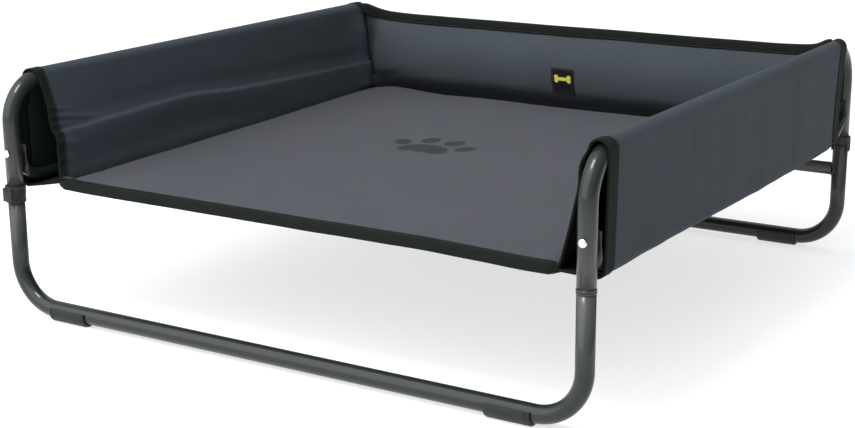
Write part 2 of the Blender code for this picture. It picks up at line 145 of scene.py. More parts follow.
def gridMesh(name, rows, closedAcross=False, closedDown=False, uvRows=None, uvOf=None):
    # rows of points, all as long as each other
    # the map is given row by row, or worked out from a point
    across = len(rows[0])
    points = [tuple(point) for row in rows for point in row]
    faces = []
    uvs = []
    for i in range(len(rows) if closedDown else len(rows) - 1):
        nextI = (i + 1) % len(rows)
        for j in range(across if closedAcross else across - 1):
            nextJ = (j + 1) % across
            face = (i * across + j, i * across + nextJ, nextI * across + nextJ, nextI * across + j)
            faces.append(face)
            if uvRows:
                uvs += [uvRows[i][j], uvRows[i][j + 1], uvRows[i + 1][j + 1], uvRows[i + 1][j]]
            elif uvOf:
                uvs += [uvOf(points[corner]) for corner in face]
    mesh = bpy.data.meshes.new(name)
    mesh.from_pydata(points, [], faces)
    if uvs:
        layer = mesh.uv_layers.new(name="clothUv")
        for corner, uv in zip(layer.data, uvs):
            corner.uv = uv
    turnOutwards(mesh)
    mesh.shade_smooth()
    return mesh


def markPaintedShade(mesh, depthOf):
    # how much painted shade each point gets in a seam, crease or recess, 0 to 1, for the cloth's colour
    values = [min(1.0, max(0.0, depthOf(vert.co))) for vert in mesh.vertices]
    mesh.attributes.new("fold", "FLOAT", "POINT").data.foreach_set("value", values)


def lathe(name, profile, centre, direction, material, steps=40):
    # a turned piece: (radius, height) pairs about an axis through centre
    turn = Vector(direction).to_track_quat("Z", "Y").to_matrix()
    rows = []
    for radius, height in profile:
        row = []
        for i in range(steps):
            angle = 2 * math.pi * i / steps
            point = Vector((radius * math.cos(angle), radius * math.sin(angle), height))
            row.append(turn @ point + Vector(centre))
        rows.append(row)
    mesh = gridMesh(name, rows, closedAcross=True)
    mesh.set_sharp_from_angle(angle=math.radians(40))
    return addPiece(name, mesh, material)


def refinedCopy(name, node, material, bevel):
    # a CAD solid's own shape with its edges rounded over
    mesh = frame["nodes"][node].data.copy()
    mesh.name = name
    mesh.materials.clear()
    shell = bmesh.new()
    shell.from_mesh(mesh)
    bmesh.ops.remove_doubles(shell, verts=shell.verts, dist=1e-6)
    bmesh.ops.dissolve_limit(shell, angle_limit=math.radians(1), verts=shell.verts, edges=shell.edges)
    shell.to_mesh(mesh)
    shell.free()
    piece = addPiece(name, mesh, material)
    step = piece.modifiers.new("roundedEdges", "BEVEL")
    step.width = bevel
    step.segments = 2
    step.limit_method = "ANGLE"
    step.angle_limit = math.radians(35)
    mesh.shade_smooth()
    mesh.set_sharp_from_angle(angle=math.radians(50))
    return piece


def addWall(piece, thickness, innerMaterial=0):
    step = piece.modifiers.new("wall", "SOLIDIFY")
    step.thickness = thickness
    step.offset = -1
    step.use_even_offset = False
    step.material_offset = innerMaterial
    return piece


def settle(piece, body, slot, *nodes):
    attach(piece, body)
    if nodes:
        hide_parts(*nodes)
    return piece


# Geometry Nodes trees

def treeNode(tree, kind, links, values=None, **settings):
    made = tree.nodes.new(kind)
    for key, value in settings.items():
        setattr(made, key, value)
    for key, value in (values or {}).items():
        made.inputs[key].default_value = value
    for key, source in links.items():
        tree.links.new(source, made.inputs[key])
    return made


def shapeNode(tree, kind, links, values=None, **settings):
    return treeNode(tree, "GeometryNode" + kind, links, values, **settings)


def shade(tree, kind, links, values=None, **settings):
    return treeNode(tree, "ShaderNode" + kind, links, values, **settings)


def startTree(name, sizes):
    # the tree, its settings' outputs, and its path as a curve
    tree = bpy.data.node_groups.new(name, "GeometryNodeTree")
    tree.interface.new_socket("Path", in_out="INPUT", socket_type="NodeSocketGeometry")
    for label, value in sizes.items():
        kind = "NodeSocketInt" if isinstance(value, int) else "NodeSocketFloat"
        tree.interface.new_socket(label, in_out="INPUT", socket_type=kind).default_value = value
    tree.interface.new_socket("Finish", in_out="INPUT", socket_type="NodeSocketMaterial")
    tree.interface.new_socket("Result", in_out="OUTPUT", socket_type="NodeSocketGeometry")
    given = tree.nodes.new("NodeGroupInput").outputs
    return tree, given, shapeNode(tree, "MeshToCurve", {"Mesh": given["Path"]}).outputs[0]


def endTree(tree, shape, given):
    smoothed = shapeNode(tree, "SetShadeSmooth", {"Geometry": shape.outputs[0]})
    real = shapeNode(tree, "RealizeInstances", {"Geometry": smoothed.outputs[0]})
    coat = {"Geometry": real.outputs[0], "Material": given["Finish"]}
    painted = shapeNode(tree, "SetMaterial", coat)
    tree.links.new(painted.outputs[0], tree.nodes.new("NodeGroupOutput").inputs[0])
    return tree


def makeTubeTree():
    # a round tube along straight runs, with its corners bent to a radius
    sizes = {"Radius": 0.01, "Bend": 0.05, "BendSteps": 20, "Sides": 40}
    tree, given, line = startTree("bentTube", sizes)
    corners = {"Curve": line, "Count": given["BendSteps"], "Radius": given["Bend"]}
    bent = shapeNode(tree, "FilletCurve", corners, mode="POLY")
    section = {"Resolution": given["Sides"], "Radius": given["Radius"]}
    ring = shapeNode(tree, "CurvePrimitiveCircle", section)
    sweep = {"Curve": bent.outputs[0], "Profile Curve": ring.outputs[0]}
    return endTree(tree, shapeNode(tree, "CurveToMesh", sweep), given)


def makeStitchTree():
    # short thread stitches at a spacing along a seam, each a little different
    sizes = {"Spacing": 0.0036, "Length": 0.0026, "Width": 0.0007, "Seed": 4}
    tree, given, line = startTree("stitchRow", sizes)
    spread = {"Curve": line, "Length": given["Spacing"]}
    places = shapeNode(tree, "CurveToPoints", spread, mode="LENGTH").outputs
    bead = shapeNode(tree, "MeshUVSphere", {}, {"Segments": 6, "Rings": 4, "Radius": 0.5})
    measures = {"X": given["Length"], "Y": given["Width"], "Z": given["Width"]}
    size = shade(tree, "CombineXYZ", measures)
    thread = shapeNode(tree, "Transform", {"Geometry": bead.outputs[0], "Scale": size.outputs[0]})
    along = {"Vector": places["Tangent"]}
    turn = treeNode(tree, "FunctionNodeAlignRotationToVector", along, axis="X")
    seed = {"Seed": given["Seed"]}
    vary = treeNode(tree, "FunctionNodeRandomValue", seed, {2: 0.85, 3: 1.12}, data_type="FLOAT")
    row = {
        "Points": places["Points"], "Instance": thread.outputs[0],
        "Rotation": turn.outputs[0], "Scale": vary.outputs[1],
    }
    return endTree(tree, shapeNode(tree, "InstanceOnPoints", row), given)


def makeRibTree():
    # upright ribs spread evenly along a line
    sizes = {"Count": 9, "Radius": 0.0008, "Height": 0.018}
    tree, given, line = startTree("ribRow", sizes)
    spread = {"Curve": line, "Count": given["Count"]}
    places = shapeNode(tree, "CurveToPoints", spread, mode="COUNT")
    bar = {"Radius": given["Radius"], "Depth": given["Height"]}
    rib = shapeNode(tree, "MeshCylinder", bar, {"Vertices": 10})
    row = {"Points": places.outputs["Points"], "Instance": rib.outputs["Mesh"]}
    return endTree(tree, shapeNode(tree, "InstanceOnPoints", row), given)


def grow(name, tree, paths, sizes, finish):
    # one plain mesh grown by a tree from lines of points; a line marked closed joins its ends
    points = []
    edges = []
    for path, closed in paths:
        first = len(points)
        points += [tuple(point) for point in path]
        edges += [(i, i + 1) for i in range(first, len(points) - 1)]
        if closed:
            edges.append((len(points) - 1, first))
    guideMesh = bpy.data.meshes.new(name + "Guide")
    guideMesh.from_pydata(points, edges, [])
    guide = bpy.data.objects.new(name + "Guide", guideMesh)
    bpy.context.scene.collection.objects.link(guide)
    step = guide.modifiers.new("grow", "NODES")
    step.node_group = tree
    for item in tree.interface.items_tree:
        if item.item_type == "SOCKET" and item.in_out == "INPUT" and item.name in sizes:
            step[item.identifier] = sizes[item.name]
        elif item.item_type == "SOCKET" and item.name == "Finish":
            step[item.identifier] = finish
    graph = bpy.context.evaluated_depsgraph_get()
    mesh = bpy.data.meshes.new_from_object(guide.evaluated_get(graph))
    bpy.data.objects.remove(guide, do_unlink=True)
    return addPiece(name, mesh)


tubeTree = makeTubeTree()
stitchTree = makeStitchTree()
ribTree = makeRibTree()


# Materials

def startMaterial(name, look):
    material = bpy.data.materials.new(name)
    material.use_nodes = True
    shader = material.node_tree.nodes["Principled BSDF"]
    for socket, value in look.items():
        shader.inputs[socket].default_value = value
    return material, material.node_tree, shader


def placeOn(tree):
    return shade(tree, "TexCoord", {}).outputs["Object"]


def noiseOf(tree, vector, scale, detail=3.0, rough=0.55):
    values = {"Scale": scale, "Detail": detail, "Roughness": rough}
    return shade(tree, "TexNoise", {"Vector": vector}, values).outputs[0]


def reach(tree, value, low, high, toLow=0.0, toHigh=1.0):
    values = {"From Min": low, "From Max": high, "To Min": toLow, "To Max": toHigh}
    return shade(tree, "MapRange", {"Value": value}, values).outputs[0]


def sumOf(tree, first, second, operation="ADD"):
    return shade(tree, "Math", {0: first, 1: second}, operation=operation).outputs[0]


def stretched(tree, vector, scale):
    return shade(tree, "Mapping", {"Vector": vector}, {"Scale": scale}).outputs[0]


def mixColours(tree, factor, colourA, colourB):
    links = {"Factor": factor}
    values = {}
    for socket, colour in ((6, colourA), (7, colourB)):
        if isinstance(colour, tuple):
            values[socket] = (*colour, 1)
        else:
            links[socket] = colour
    return shade(tree, "Mix", links, values, data_type="RGBA").outputs[2]


def finishCoat(tree, shader, look, colour, rough, height, depth):
    # colour, roughness by a 0 to 1 value, and relief to a depth
    tree.links.new(colour, shader.inputs["Base Color"])
    roughness = reach(tree, rough, 0, 1, *look["roughness"])
    tree.links.new(roughness, shader.inputs["Roughness"])
    bump = shade(tree, "Bump", {"Height": height}, {"Distance": depth, "Strength": 1.0})
    tree.links.new(bump.outputs[0], shader.inputs["Normal"])


def makePaint(look):
    # powder coat: fine orange peel, slight mottling, thinner and paler on sharp edges
    material, tree, shader = startMaterial(look["name"], look["shader"])
    place = placeOn(tree)
    cloud = reach(tree, noiseOf(tree, place, look["mottleScale"], 4.0), 0.3, 0.7)
    edge = shade(tree, "NewGeometry", {}).outputs["Pointiness"]
    worn = reach(tree, edge, 0.53, 0.60, 0.0, look["wear"])
    colour = mixColours(tree, worn, mixColours(tree, cloud, look["dark"], look["light"]), look["worn"])
    peel = noiseOf(tree, place, look["peelScale"], 2.0)
    finishCoat(tree, shader, look, colour, cloud, peel, look["peelDepth"])
    return material


def makePlastic(look):
    # moulded plastic with a fine spark texture and dull scuffs
    material, tree, shader = startMaterial(look["name"], look["shader"])
    place = placeOn(tree)
    scuff = reach(tree, noiseOf(tree, place, look["scuffScale"], 5.0, 0.7), 0.42, 0.66)
    colour = mixColours(tree, scuff, look["dark"], look["light"])
    grain = noiseOf(tree, place, look["grainScale"], 3.0)
    finishCoat(tree, shader, look, colour, scuff, grain, look["grainDepth"])
    return material


def makeSteel(look):
    # zinc plated steel with fine drawn scratches
    material, tree, shader = startMaterial(look["name"], look["shader"])
    drawn = stretched(tree, placeOn(tree), look["scratchStretch"])
    scratch = noiseOf(tree, drawn, look["scratchScale"], 4.0)
    colour = mixColours(tree, scratch, look["dark"], look["light"])
    rough = reach(tree, scratch, 0.3, 0.7)
    finishCoat(tree, shader, look, colour, rough, scratch, look["scratchDepth"])
    return material


def ellipseMask(tree, uv, centre, radii, tilt, blur):
    # 1 inside an ellipse on the map, 0 outside, soft over the blur share of its radius
    offset = {1: (-centre[0], -centre[1], 0)}
    moved = shade(tree, "VectorMath", {0: uv}, offset, operation="ADD").outputs[0]
    turned = shade(tree, "Mapping", {"Vector": moved}, {"Rotation": (0, 0, -tilt)}).outputs[0]
    share = {1: (1 / radii[0], 1 / radii[1], 0)}
    scaled = shade(tree, "VectorMath", {0: turned}, share, operation="MULTIPLY").outputs[0]
    far = shade(tree, "VectorMath", {0: scaled}, operation="LENGTH").outputs["Value"]
    return reach(tree, far, 1 - blur, 1 + blur, 1.0, 0.0)


def makeCloth(look, prints=()):
    # a plain weave with slubs, cloudy colour and a soft sheen, and flat prints on it
    material, tree, shader = startMaterial(look["name"], look["shader"])
    uv = shade(tree, "UVMap", {}, uv_map="clothUv").outputs[0]
    pitch = {"Scale": 2 * math.pi / look["weavePitch"]}
    grid = shade(tree, "VectorMath", {0: uv}, pitch, operation="SCALE").outputs[0]
    lines = shade(tree, "SeparateXYZ", {0: grid}).outputs
    warp, weft = (shade(tree, "Math", {0: lines[i]}, operation="COSINE").outputs[0] for i in (0, 1))
    weave = sumOf(tree, warp, weft, "MULTIPLY")
    cloud = reach(tree, noiseOf(tree, uv, look["cloudScale"], 5.0, 0.6), 0.3, 0.7)
    slubs = []
    for stretch in (look["slubStretch"], tuple(reversed(look["slubStretch"]))):
        slubs.append(noiseOf(tree, stretched(tree, uv, (*stretch, 1)), 1.0, 3.0, 0.6))
    slub = reach(tree, sumOf(tree, *slubs), 0.75, 1.25)
    mixed = mixColours(tree, slub, look["dark"], look["light"])
    faded = reach(tree, cloud, 0, 1, 0.0, look["cloudShare"])
    clouded = mixColours(tree, faded, mixed, look["faded"])
    grain = noiseOf(tree, uv, look["grainScale"], 2.0, 0.7)
    speckled = mixColours(tree, reach(tree, grain, 0.35, 0.65, 0.0, 0.30), clouded, look["gap"])
    threads = reach(tree, weave, -1, 1, look["weaveShade"], 0.0)
    colour = mixColours(tree, threads, speckled, look["gap"])
    for shapes, printColour, strength in prints:
        mask = None
        for centre, radii, tilt in shapes:
            one = ellipseMask(tree, uv, centre, radii, tilt, 0.03)
            mask = one if mask is None else sumOf(tree, mask, one, "MAXIMUM")
        cover = shade(tree, "Math", {0: mask}, {1: strength}, operation="MULTIPLY").outputs[0]
        colour = mixColours(tree, cover, colour, printColour)
    # painted shade: the cloth darkens towards its gap colour where the fold attribute marks seams,
    # creases and recesses
    folded = shade(tree, "Attribute", {}, attribute_name="fold").outputs["Fac"]
    colour = mixColours(tree, reach(tree, folded, 0, 1, 0, look["paintedCreaseShade"]), colour, look["gap"])
    height = sumOf(tree, weave, reach(tree, slub, 0, 1, 0, look["slubHeight"]))
    finishCoat(tree, shader, look, colour, slub, height, look["weaveDepth"])
    return material


paintLook = {
    "name": "framePaint",
    "shader": {"Specular IOR Level": 0.17, "Coat Weight": 0.42, "Coat Roughness": 0.10},
    "dark": (0.010, 0.014, 0.013),
    "light": (0.014, 0.019, 0.0175),
    "worn": (0.12, 0.125, 0.12),
    "wear": 0.35,
    "mottleScale": 38.0,
    "peelScale": 850.0,
    "peelDepth": 0.00006,
    "roughness": (0.28, 0.38),
}
plasticLook = {
    "name": "blackPlastic",
    "shader": {"Specular IOR Level": 0.30},
    "dark": (0.008, 0.0105, 0.010),
    "light": (0.015, 0.018, 0.0175),
    "scuffScale": 160.0,
    "grainScale": 1800.0,
    "grainDepth": 0.00008,
    "roughness": (0.46, 0.62),
}
steelLook = {
    "name": "rivetSteel",
    "shader": {"Metallic": 1.0},
    "dark": (0.62, 0.62, 0.61),
    "light": (0.86, 0.86, 0.85),
    "scratchStretch": (1.0, 1.0, 9.0),
    "scratchScale": 420.0,
    "scratchDepth": 0.00003,
    "roughness": (0.16, 0.30),
}
clothShader = {
    "Sheen Weight": 0.07,
    "Sheen Roughness": 0.45,
    "Sheen Tint": (0.80, 0.86, 1.0, 1.0),
    "Specular IOR Level": 0.22,
}
sleeveLook = {
    "name": "sleeveCloth",
    "shader": clothShader,
    # painted shade: these colours are darker than the wall's copy of the same cloth, for the shade on
    # the side panels
    "dark": (0.025, 0.036, 0.047),
    "light": (0.033, 0.046, 0.060),
    "faded": (0.039, 0.053, 0.067),
    "gap": (0.008, 0.011, 0.014),
    "cloudShare": 0.55,
    "weavePitch": 0.0009,
    "weaveShade": 0.30,
    "weaveDepth": 0.00012,
    "slubHeight": 0.9,
    "grainScale": 420.0,
    "paintedCreaseShade": 0.92,          # painted shade in seams, creases and recesses
    "cloudScale": 9.0,
    "slubStretch": (620.0, 26.0),
    "roughness": (0.70, 0.86),
}
# the sleeves' cloth with painted light: lighter colours for the light falling on the wall
litWallLook = dict(
    sleeveLook,
    name="litWallCloth",
    dark=(0.041, 0.051, 0.062),
    light=(0.054, 0.067, 0.080),
    faded=(0.064, 0.078, 0.092),
    # the weave gaps' colour, darker here for the painted shade in the bottom crease
    gap=(0.003, 0.004, 0.005),
    paintedCreaseShade=1.0,
)
bedLook = dict(
    sleeveLook,
    name="bedCloth",
    dark=(0.047, 0.050, 0.061),
    light=(0.063, 0.065, 0.078),
    faded=(0.073, 0.072, 0.086),
    gap=(0.020, 0.022, 0.027),
    slubStretch=(420.0, 20.0),
)
tapeLook = dict(
    sleeveLook,
    name="tapeCloth",
    shader={"Sheen Weight": 0.01, "Sheen Roughness": 0.4, "Specular IOR Level": 0.12},
    dark=(0.005, 0.0075, 0.0065),
    light=(0.009, 0.013, 0.011),
    faded=(0.013, 0.018, 0.016),
    gap=(0.0015, 0.002, 0.002),
    cloudShare=0.35,
    weavePitch=0.0016,
    weaveShade=0.45,
    weaveDepth=0.00025,
    roughness=(0.66, 0.82),
)
coatLook = dict(
    tapeLook,
    name="sleeveBacking",
    dark=(0.016, 0.025, 0.026),
    light=(0.023, 0.033, 0.035),
    faded=(0.027, 0.038, 0.040),
    weaveDepth=0.00005,
    roughness=(0.45, 0.6),
)
patchLook = dict(
    tapeLook,
    name="patchCloth",
    dark=(0.006, 0.007, 0.008),
    light=(0.011, 0.012, 0.013),
    faded=(0.015, 0.016, 0.017),
    weavePitch=0.0007,
)
threadLook = {
    "name": "sewingThread",
    "shader": {"Sheen Weight": 0.3},
    "dark": (0.020, 0.024, 0.024),
    "light": (0.045, 0.050, 0.050),
    "scuffScale": 900.0,
    "grainScale": 5000.0,
    "grainDepth": 0.0001,
    "roughness": (0.6, 0.8),
}
pawPrint = {"centre": (-0.045, 0.020), "colour": (0.006, 0.011, 0.011), "strength": 0.96}
patchMark = {"colour": (0.80, 0.69, 0.12), "strength": 0.92}


def pawShapes(centreX, centreY):
    # a generic paw: one broad heel pad and four toes
    heel = [((centreX, centreY - 0.020), (0.036, 0.024), 0.0)]
    heel += [((centreX + side * 0.022, centreY - 0.030), (0.017, 0.015), 0.0) for side in (-1, 1)]
    toes = []
    for side in (-1, 1):
        toes.append(((centreX + side * 0.052, centreY + 0.004), (0.0125, 0.018), -side * 0.45))
        toes.append(((centreX + side * 0.020, centreY + 0.029), (0.0135, 0.019), -side * 0.12))
    return heel + toes


def boneShapes(centreX, centreY):
    # a plain bone: a bar with two knobs at each end
    shapes = [((centreX, centreY), (0.0120, 0.0029), 0.0)]
    for side in (-1, 1):
        for rise in (-1, 1):
            knob = (centreX + side * 0.0112, centreY + rise * 0.0029)
            shapes.append((knob, (0.0038, 0.0035), 0.0))
    return shapes


framePaint = makePaint(paintLook)
blackPlastic = makePlastic(plasticLook)
rivetSteel = makeSteel(steelLook)
sewingThread = makePlastic(threadLook)
sleeveCloth = makeCloth(sleeveLook)
litWallCloth = makeCloth(litWallLook)
tapeCloth = makeCloth(tapeLook)
sleeveBacking = makeCloth(coatLook)
bedPrint = (pawShapes(*pawPrint["centre"]), pawPrint["colour"], pawPrint["strength"])
bedCloth = makeCloth(bedLook, [bedPrint])
print("materials made")


# Places read from the CAD

lowerRail = {"radius": 0.008, "wall": 0.0010, "bend": 0.035, "flatHalf": 0.0016, "widening": 1.3}
frameBox = boxOf("right_side_frame")
tubeRadius = (frameBox[1].x - frameBox[0].x) / 2
legX = frameBox[2].x
legY = frameBox[1].y - tubeRadius
topRailZ = frameBox[1].z - tubeRadius
splitZ = boxOf("front_right_swivel_pin")[2].z
lowerRailZ = boxOf("right_lower_rail")[0].z + lowerRail["radius"]
lugTopZ = boxOf("right_lower_rail")[1].z
rivetZ = boxOf("front_right_rivet")[2].z
floorBarZ = boxOf("front_base")[0].z + tubeRadius
sleeveRearY = boxOf("right_side_sleeve")[1].y
sleeveFrontY = {1: boxOf("right_side_sleeve")[0].y, -1: boxOf("left_side_sleeve")[0].y}
sides = {"right": 1, "left": -1}


# The frame of steel tube

tubes = {
    "wall": 0.0012,
    "topBend": 0.055,
    "baseBend": 0.060,
    "plainEndGap": 0.0005,
    "swivelEndGap": 0.0028,
    "sides": 40,
    "bendSteps": 22,
}


def bentTube(name, corners, radius, bend, wall, body, *nodes):
    sizes = {"Radius": radius, "Bend": bend, "BendSteps": tubes["bendSteps"], "Sides": tubes["sides"]}
    piece = grow(name, tubeTree, [(corners, False)], sizes, framePaint)
    turnOutwards(piece.data)
    addWall(piece, wall)
    return settle(piece, body, "frame_paint", *nodes)


def makeFrameTubes():
    swivelTop = splitZ + tubes["swivelEndGap"]
    plainTop = splitZ + tubes["plainEndGap"]
    swivelBottom = splitZ - tubes["swivelEndGap"]
    plainBottom = splitZ - tubes["plainEndGap"]
    for word, turn in sides.items():
        corners = [
            (turn * legX, -turn * legY, swivelTop),
            (turn * legX, -turn * legY, topRailZ),
            (turn * legX, turn * legY, topRailZ),
            (turn * legX, turn * legY, plainTop),
        ]
        bentTube(
            f"{word}SideTube", corners, tubeRadius, tubes["topBend"], tubes["wall"], bedBody,
            f"{word}_side_frame",
        )
    for word, turn, body in (("front", 1, frontBase), ("rear", -1, rearBase)):
        corners = [
            (-turn * legX, -turn * legY, plainBottom),
            (-turn * legX, -turn * legY, floorBarZ),
            (turn * legX, -turn * legY, floorBarZ),
            (turn * legX, -turn * legY, swivelBottom),
        ]
        bentTube(
            f"{word}BaseTube", corners, tubeRadius, tubes["baseBend"], tubes["wall"], body,
            f"{word}_base",
        )


def railLineY(z, lugY):
    below = min(lowerRail["bend"], max(0, lowerRailZ + lowerRail["bend"] - z))
    return lugY - lowerRail["bend"] + math.sqrt(lowerRail["bend"] ** 2 - below ** 2)


def makeLowerRails():
    # the rail in each sleeve's foot, flattened into lugs where it is riveted to the legs
    lugY = boxOf("right_lower_rail")[1].y - lowerRail["flatHalf"]
    radius = lowerRail["radius"]
    flatFrom = lowerRailZ + radius * 0.875
    flatTo = lowerRailZ + lowerRail["bend"] * 0.75
    for word, side in sides.items():
        x = side * legX
        corners = [(x, -lugY, lugTopZ), (x, -lugY, lowerRailZ), (x, lugY, lowerRailZ)]
        corners.append((x, lugY, lugTopZ))
        piece = bentTube(
            f"{word}LowerRail", corners, radius, lowerRail["bend"], lowerRail["wall"], bedBody,
            f"{word}_lower_rail",
        )
        for vert in piece.data.vertices:
            share = smooth(flatFrom, flatTo, vert.co.z)
            lineY = math.copysign(railLineY(vert.co.z, lugY), vert.co.y)
            vert.co.y = lineY + (vert.co.y - lineY) * (1 + share * (lowerRail["flatHalf"] / radius - 1))
            vert.co.x = x + (vert.co.x - x) * (1 + share * (lowerRail["widening"] - 1))


crossBar = {
    "reach": 0.6,               # how far round its own radius the bar meets the leg
    "weldRadius": 0.0013,
    "weldLift": 0.0003,
    "weldWobble": 0.0002,
    "weldSteps": 36,
}


def makeCrossBar():
    # the rear cross bar and the weld beads that hold it between the legs
    low, high, middle = boxOf("rear_cross_bar")
    radius = (high.z - low.z) / 2
    ends = legX - math.sqrt(tubeRadius ** 2 - (radius * crossBar["reach"]) ** 2)
    corners = [(-ends, legY, middle.z), (ends, legY, middle.z)]
    bentTube("rearCrossTube", corners, radius, 0.0, tubes["wall"], rearBase, "rear_cross_bar")
    beadRing = radius + crossBar["weldLift"]
    beads = []
    for side in (-1, 1):
        loop = []
        for i in range(crossBar["weldSteps"]):
            angle = 2 * math.pi * i / crossBar["weldSteps"]
            across = beadRing * math.cos(angle)
            inward = math.sqrt(tubeRadius ** 2 - min(abs(across), tubeRadius * 0.98) ** 2)
            wobble = crossBar["weldWobble"] * softNoise(i * 1.7, side, 2.0)
            x = side * (legX - inward - wobble)
            loop.append((x, legY + across, middle.z + beadRing * math.sin(angle)))
        beads.append((loop, True))
    sizes = {"Radius": crossBar["weldRadius"], "Bend": 0.0, "BendSteps": 2, "Sides": 10}
    settle(grow("rearCrossWelds", tubeTree, beads, sizes, framePaint), rearBase, "frame_paint")


makeFrameTubes()
makeLowerRails()
makeCrossBar()
print("tubes made")


# Pins, clips, rivets and feet

pins = {
    "collarHeight": 0.005,
    "collarRadius": 0.0116,
    "pinRadius": 0.0090,
    "chamfer": 0.0015,
    "edge": 0.0003,
    "grooveHalf": 0.0005,
    "grooveDepth": 0.0008,
    "grooveFloor": 0.0002,
}
rivets = {
    "radius": 0.0025,
    "headRadius": 0.0052,
    "headHeight": 0.0030,
    "rim": 0.0005,
    "edge": 0.0004,
    "tailHeight": 0.0015,
    "tailRadii": (0.0038, 0.0036),
    "domeSteps": 8,
}
clips = {
    "bodyEdge": 0.0006,
    "pinEdge": 0.0003,
    "ribCount": 8,
    "ribRadius": 0.0007,
    "ribHeight": 0.0185,
    "ringRadius": 0.0133,
    "ribsFrom": 42,             # degrees round from the clip's outward side
    "ribsSweep": 46,
}
shoe = {
    "wrap": math.radians(112),
    "steps": 30,
    "tubeGap": 0.0003,
    "ringAt": 0.005,
    "groove": 0.0007,
    "grooveWidth": 0.0012,
    "grooveSlope": 0.0007,
    # how much less than the full radius, at each distance from an end
    "mouth": [(0.0, 0.0016), (0.0009, 0.0005), (0.0022, 0.0)],
    "back": [(0.0030, 0.0), (0.0012, 0.0006), (0.0, 0.0020)],
}


def makeSwivelPins():
    for node, x, y in (("front_right_swivel_pin", legX, -legY), ("rear_left_swivel_pin", -legX, legY)):
        low, high = boxOf(node)[:2]
        half = (high.z - low.z) / 2
        collar = pins["collarHeight"] / 2
        radius = pins["collarRadius"]
        upper = [
            (0, half),
            (pins["pinRadius"] - pins["chamfer"], half),
            (pins["pinRadius"], half - pins["chamfer"]),
            (pins["pinRadius"], collar),
            (radius - pins["edge"], collar),
            (radius, collar - pins["edge"]),
            (radius, pins["grooveHalf"]),
            (radius - pins["grooveDepth"], pins["grooveFloor"]),
        ]
        lower = [(r, -h) for r, h in reversed(upper)]
        piece = lathe(camelName(node), upper + lower, (x, y, splitZ), (0, 0, 1), framePaint)
        settle(piece, bedBody, "frame_paint", node)


def makeRivets():
    for end, endSign in (("front", -1), ("rear", 1)):
        for word, side in sides.items():
            node = f"{end}_{word}_rivet"
            low, high = boxOf(node)[:2]
            tip = max(abs(low.y), abs(high.y))
            tail = min(abs(low.y), abs(high.y))
            head = tip - rivets["headHeight"]
            profile = []
            for i in range(rivets["domeSteps"] + 1):
                angle = math.pi / 2 * i / rivets["domeSteps"]
                lift = rivets["rim"] + (rivets["headHeight"] - rivets["rim"]) * math.cos(angle)
                profile.append((rivets["headRadius"] * math.sin(angle), head + lift))
            profile += [
                (rivets["headRadius"], head + rivets["rim"] * 0.4),
                (rivets["headRadius"] - rivets["edge"], head),
                (rivets["radius"], head),
                (rivets["radius"], tail + rivets["tailHeight"]),
                (rivets["tailRadii"][0], tail + rivets["tailHeight"]),
                (rivets["tailRadii"][1], tail),
                (0, tail),
            ]
            centre = (side * legX, 0, rivetZ)
            piece = lathe(camelName(node), profile, centre, (0, endSign, 0), rivetSteel, 32)
            settle(piece, bedBody, "rivet_steel", node)


def makeClips():
    for corner, x, y in (("front_left", -legX, -legY), ("rear_right", legX, legY)):
        for part, edge in (("snap_clip", clips["bodyEdge"]), ("clip_pin", clips["pinEdge"])):
            node = f"{corner}_{part}"
            copied = refinedCopy(camelName(node), node, blackPlastic, edge)
            settle(copied, bedBody, "black_plastic", node)
        outwards = math.atan2(y, 0)
        arcs = []
        for turn in (-1, 1):
            arc = []
            for i in range(12):
                sweep = clips["ribsFrom"] + clips["ribsSweep"] * i / 11
                angle = outwards + turn * math.radians(sweep)
                arc.append((x + clips["ringRadius"] * math.cos(angle),
                            y + clips["ringRadius"] * math.sin(angle), splitZ))
            arcs.append((arc, False))
        labels = {"Count": "ribCount", "Radius": "ribRadius", "Height": "ribHeight"}
        sizes = {label: clips[key] for label, key in labels.items()}
        ribs = grow(camelName(f"{corner}_clip_ribs"), ribTree, arcs, sizes, blackPlastic)
        settle(ribs, bedBody, "black_plastic")


def shoeLoop(x, outer, inner):
    # the C-shaped section of a foot, cut flat where it meets the floor
    points = []
    for radius, direction in ((outer, 1), (inner, -1)):
        for i in range(shoe["steps"] + 1):
            share = i / shoe["steps"] * direction + (0 if direction > 0 else 1)
            angle = -math.pi / 2 - shoe["wrap"] + 2 * shoe["wrap"] * share
            z = floorBarZ + radius * math.sin(angle)
            points.append((x, radius * math.cos(angle), max(z, 0.0)))
    return points


def makeFeet():
    ring = shoe["ringAt"]
    ringEnd = ring + shoe["grooveWidth"]
    for end, endSign, body in (("front", -1, frontBase), ("rear", 1, rearBase)):
        for word, side in sides.items():
            node = f"{end}_{word}_foot"
            low, high = boxOf(node)[:2]
            outer = (high.y - low.y) / 2
            inner = tubeRadius + shoe["tubeGap"]
            outerEnd = side * max(abs(low.x), abs(high.x))
            length = high.x - low.x
            stations = [(run, outer - less) for run, less in shoe["mouth"]]
            stations += [
                (ring - shoe["grooveSlope"], outer),
                (ring, outer - shoe["groove"]),
                (ringEnd, outer - shoe["groove"]),
                (ringEnd + shoe["grooveSlope"], outer),
                (length * 0.5, outer),
            ]
            stations += [(length - run, outer - less) for run, less in shoe["back"]]
            rows = []
            for run, radius in stations:
                loop = shoeLoop(outerEnd - side * run, radius, inner)
                rows.append([(x, y + endSign * legY, z) for x, y, z in loop])
            mesh = gridMesh(node, rows, closedAcross=True)
            shell = bmesh.new()
            shell.from_mesh(mesh)
            rims = [edge for edge in shell.edges if edge.is_boundary]
            for x in (outerEnd, outerEnd - side * length):
                loop = [edge for edge in rims if abs(edge.verts[0].co.x - x) < 1e-5]
                bmesh.ops.holes_fill(shell, edges=loop)
            shell.to_mesh(mesh)
            shell.free()
            turnOutwards(mesh)
            mesh.set_sharp_from_angle(angle=math.radians(38))
            foot = addPiece(camelName(node), mesh, blackPlastic)
            settle(foot, body, "black_plastic", node)


makeSwivelPins()
makeRivets()
makeClips()
makeFeet()
print("fittings made")


# Side sleeves

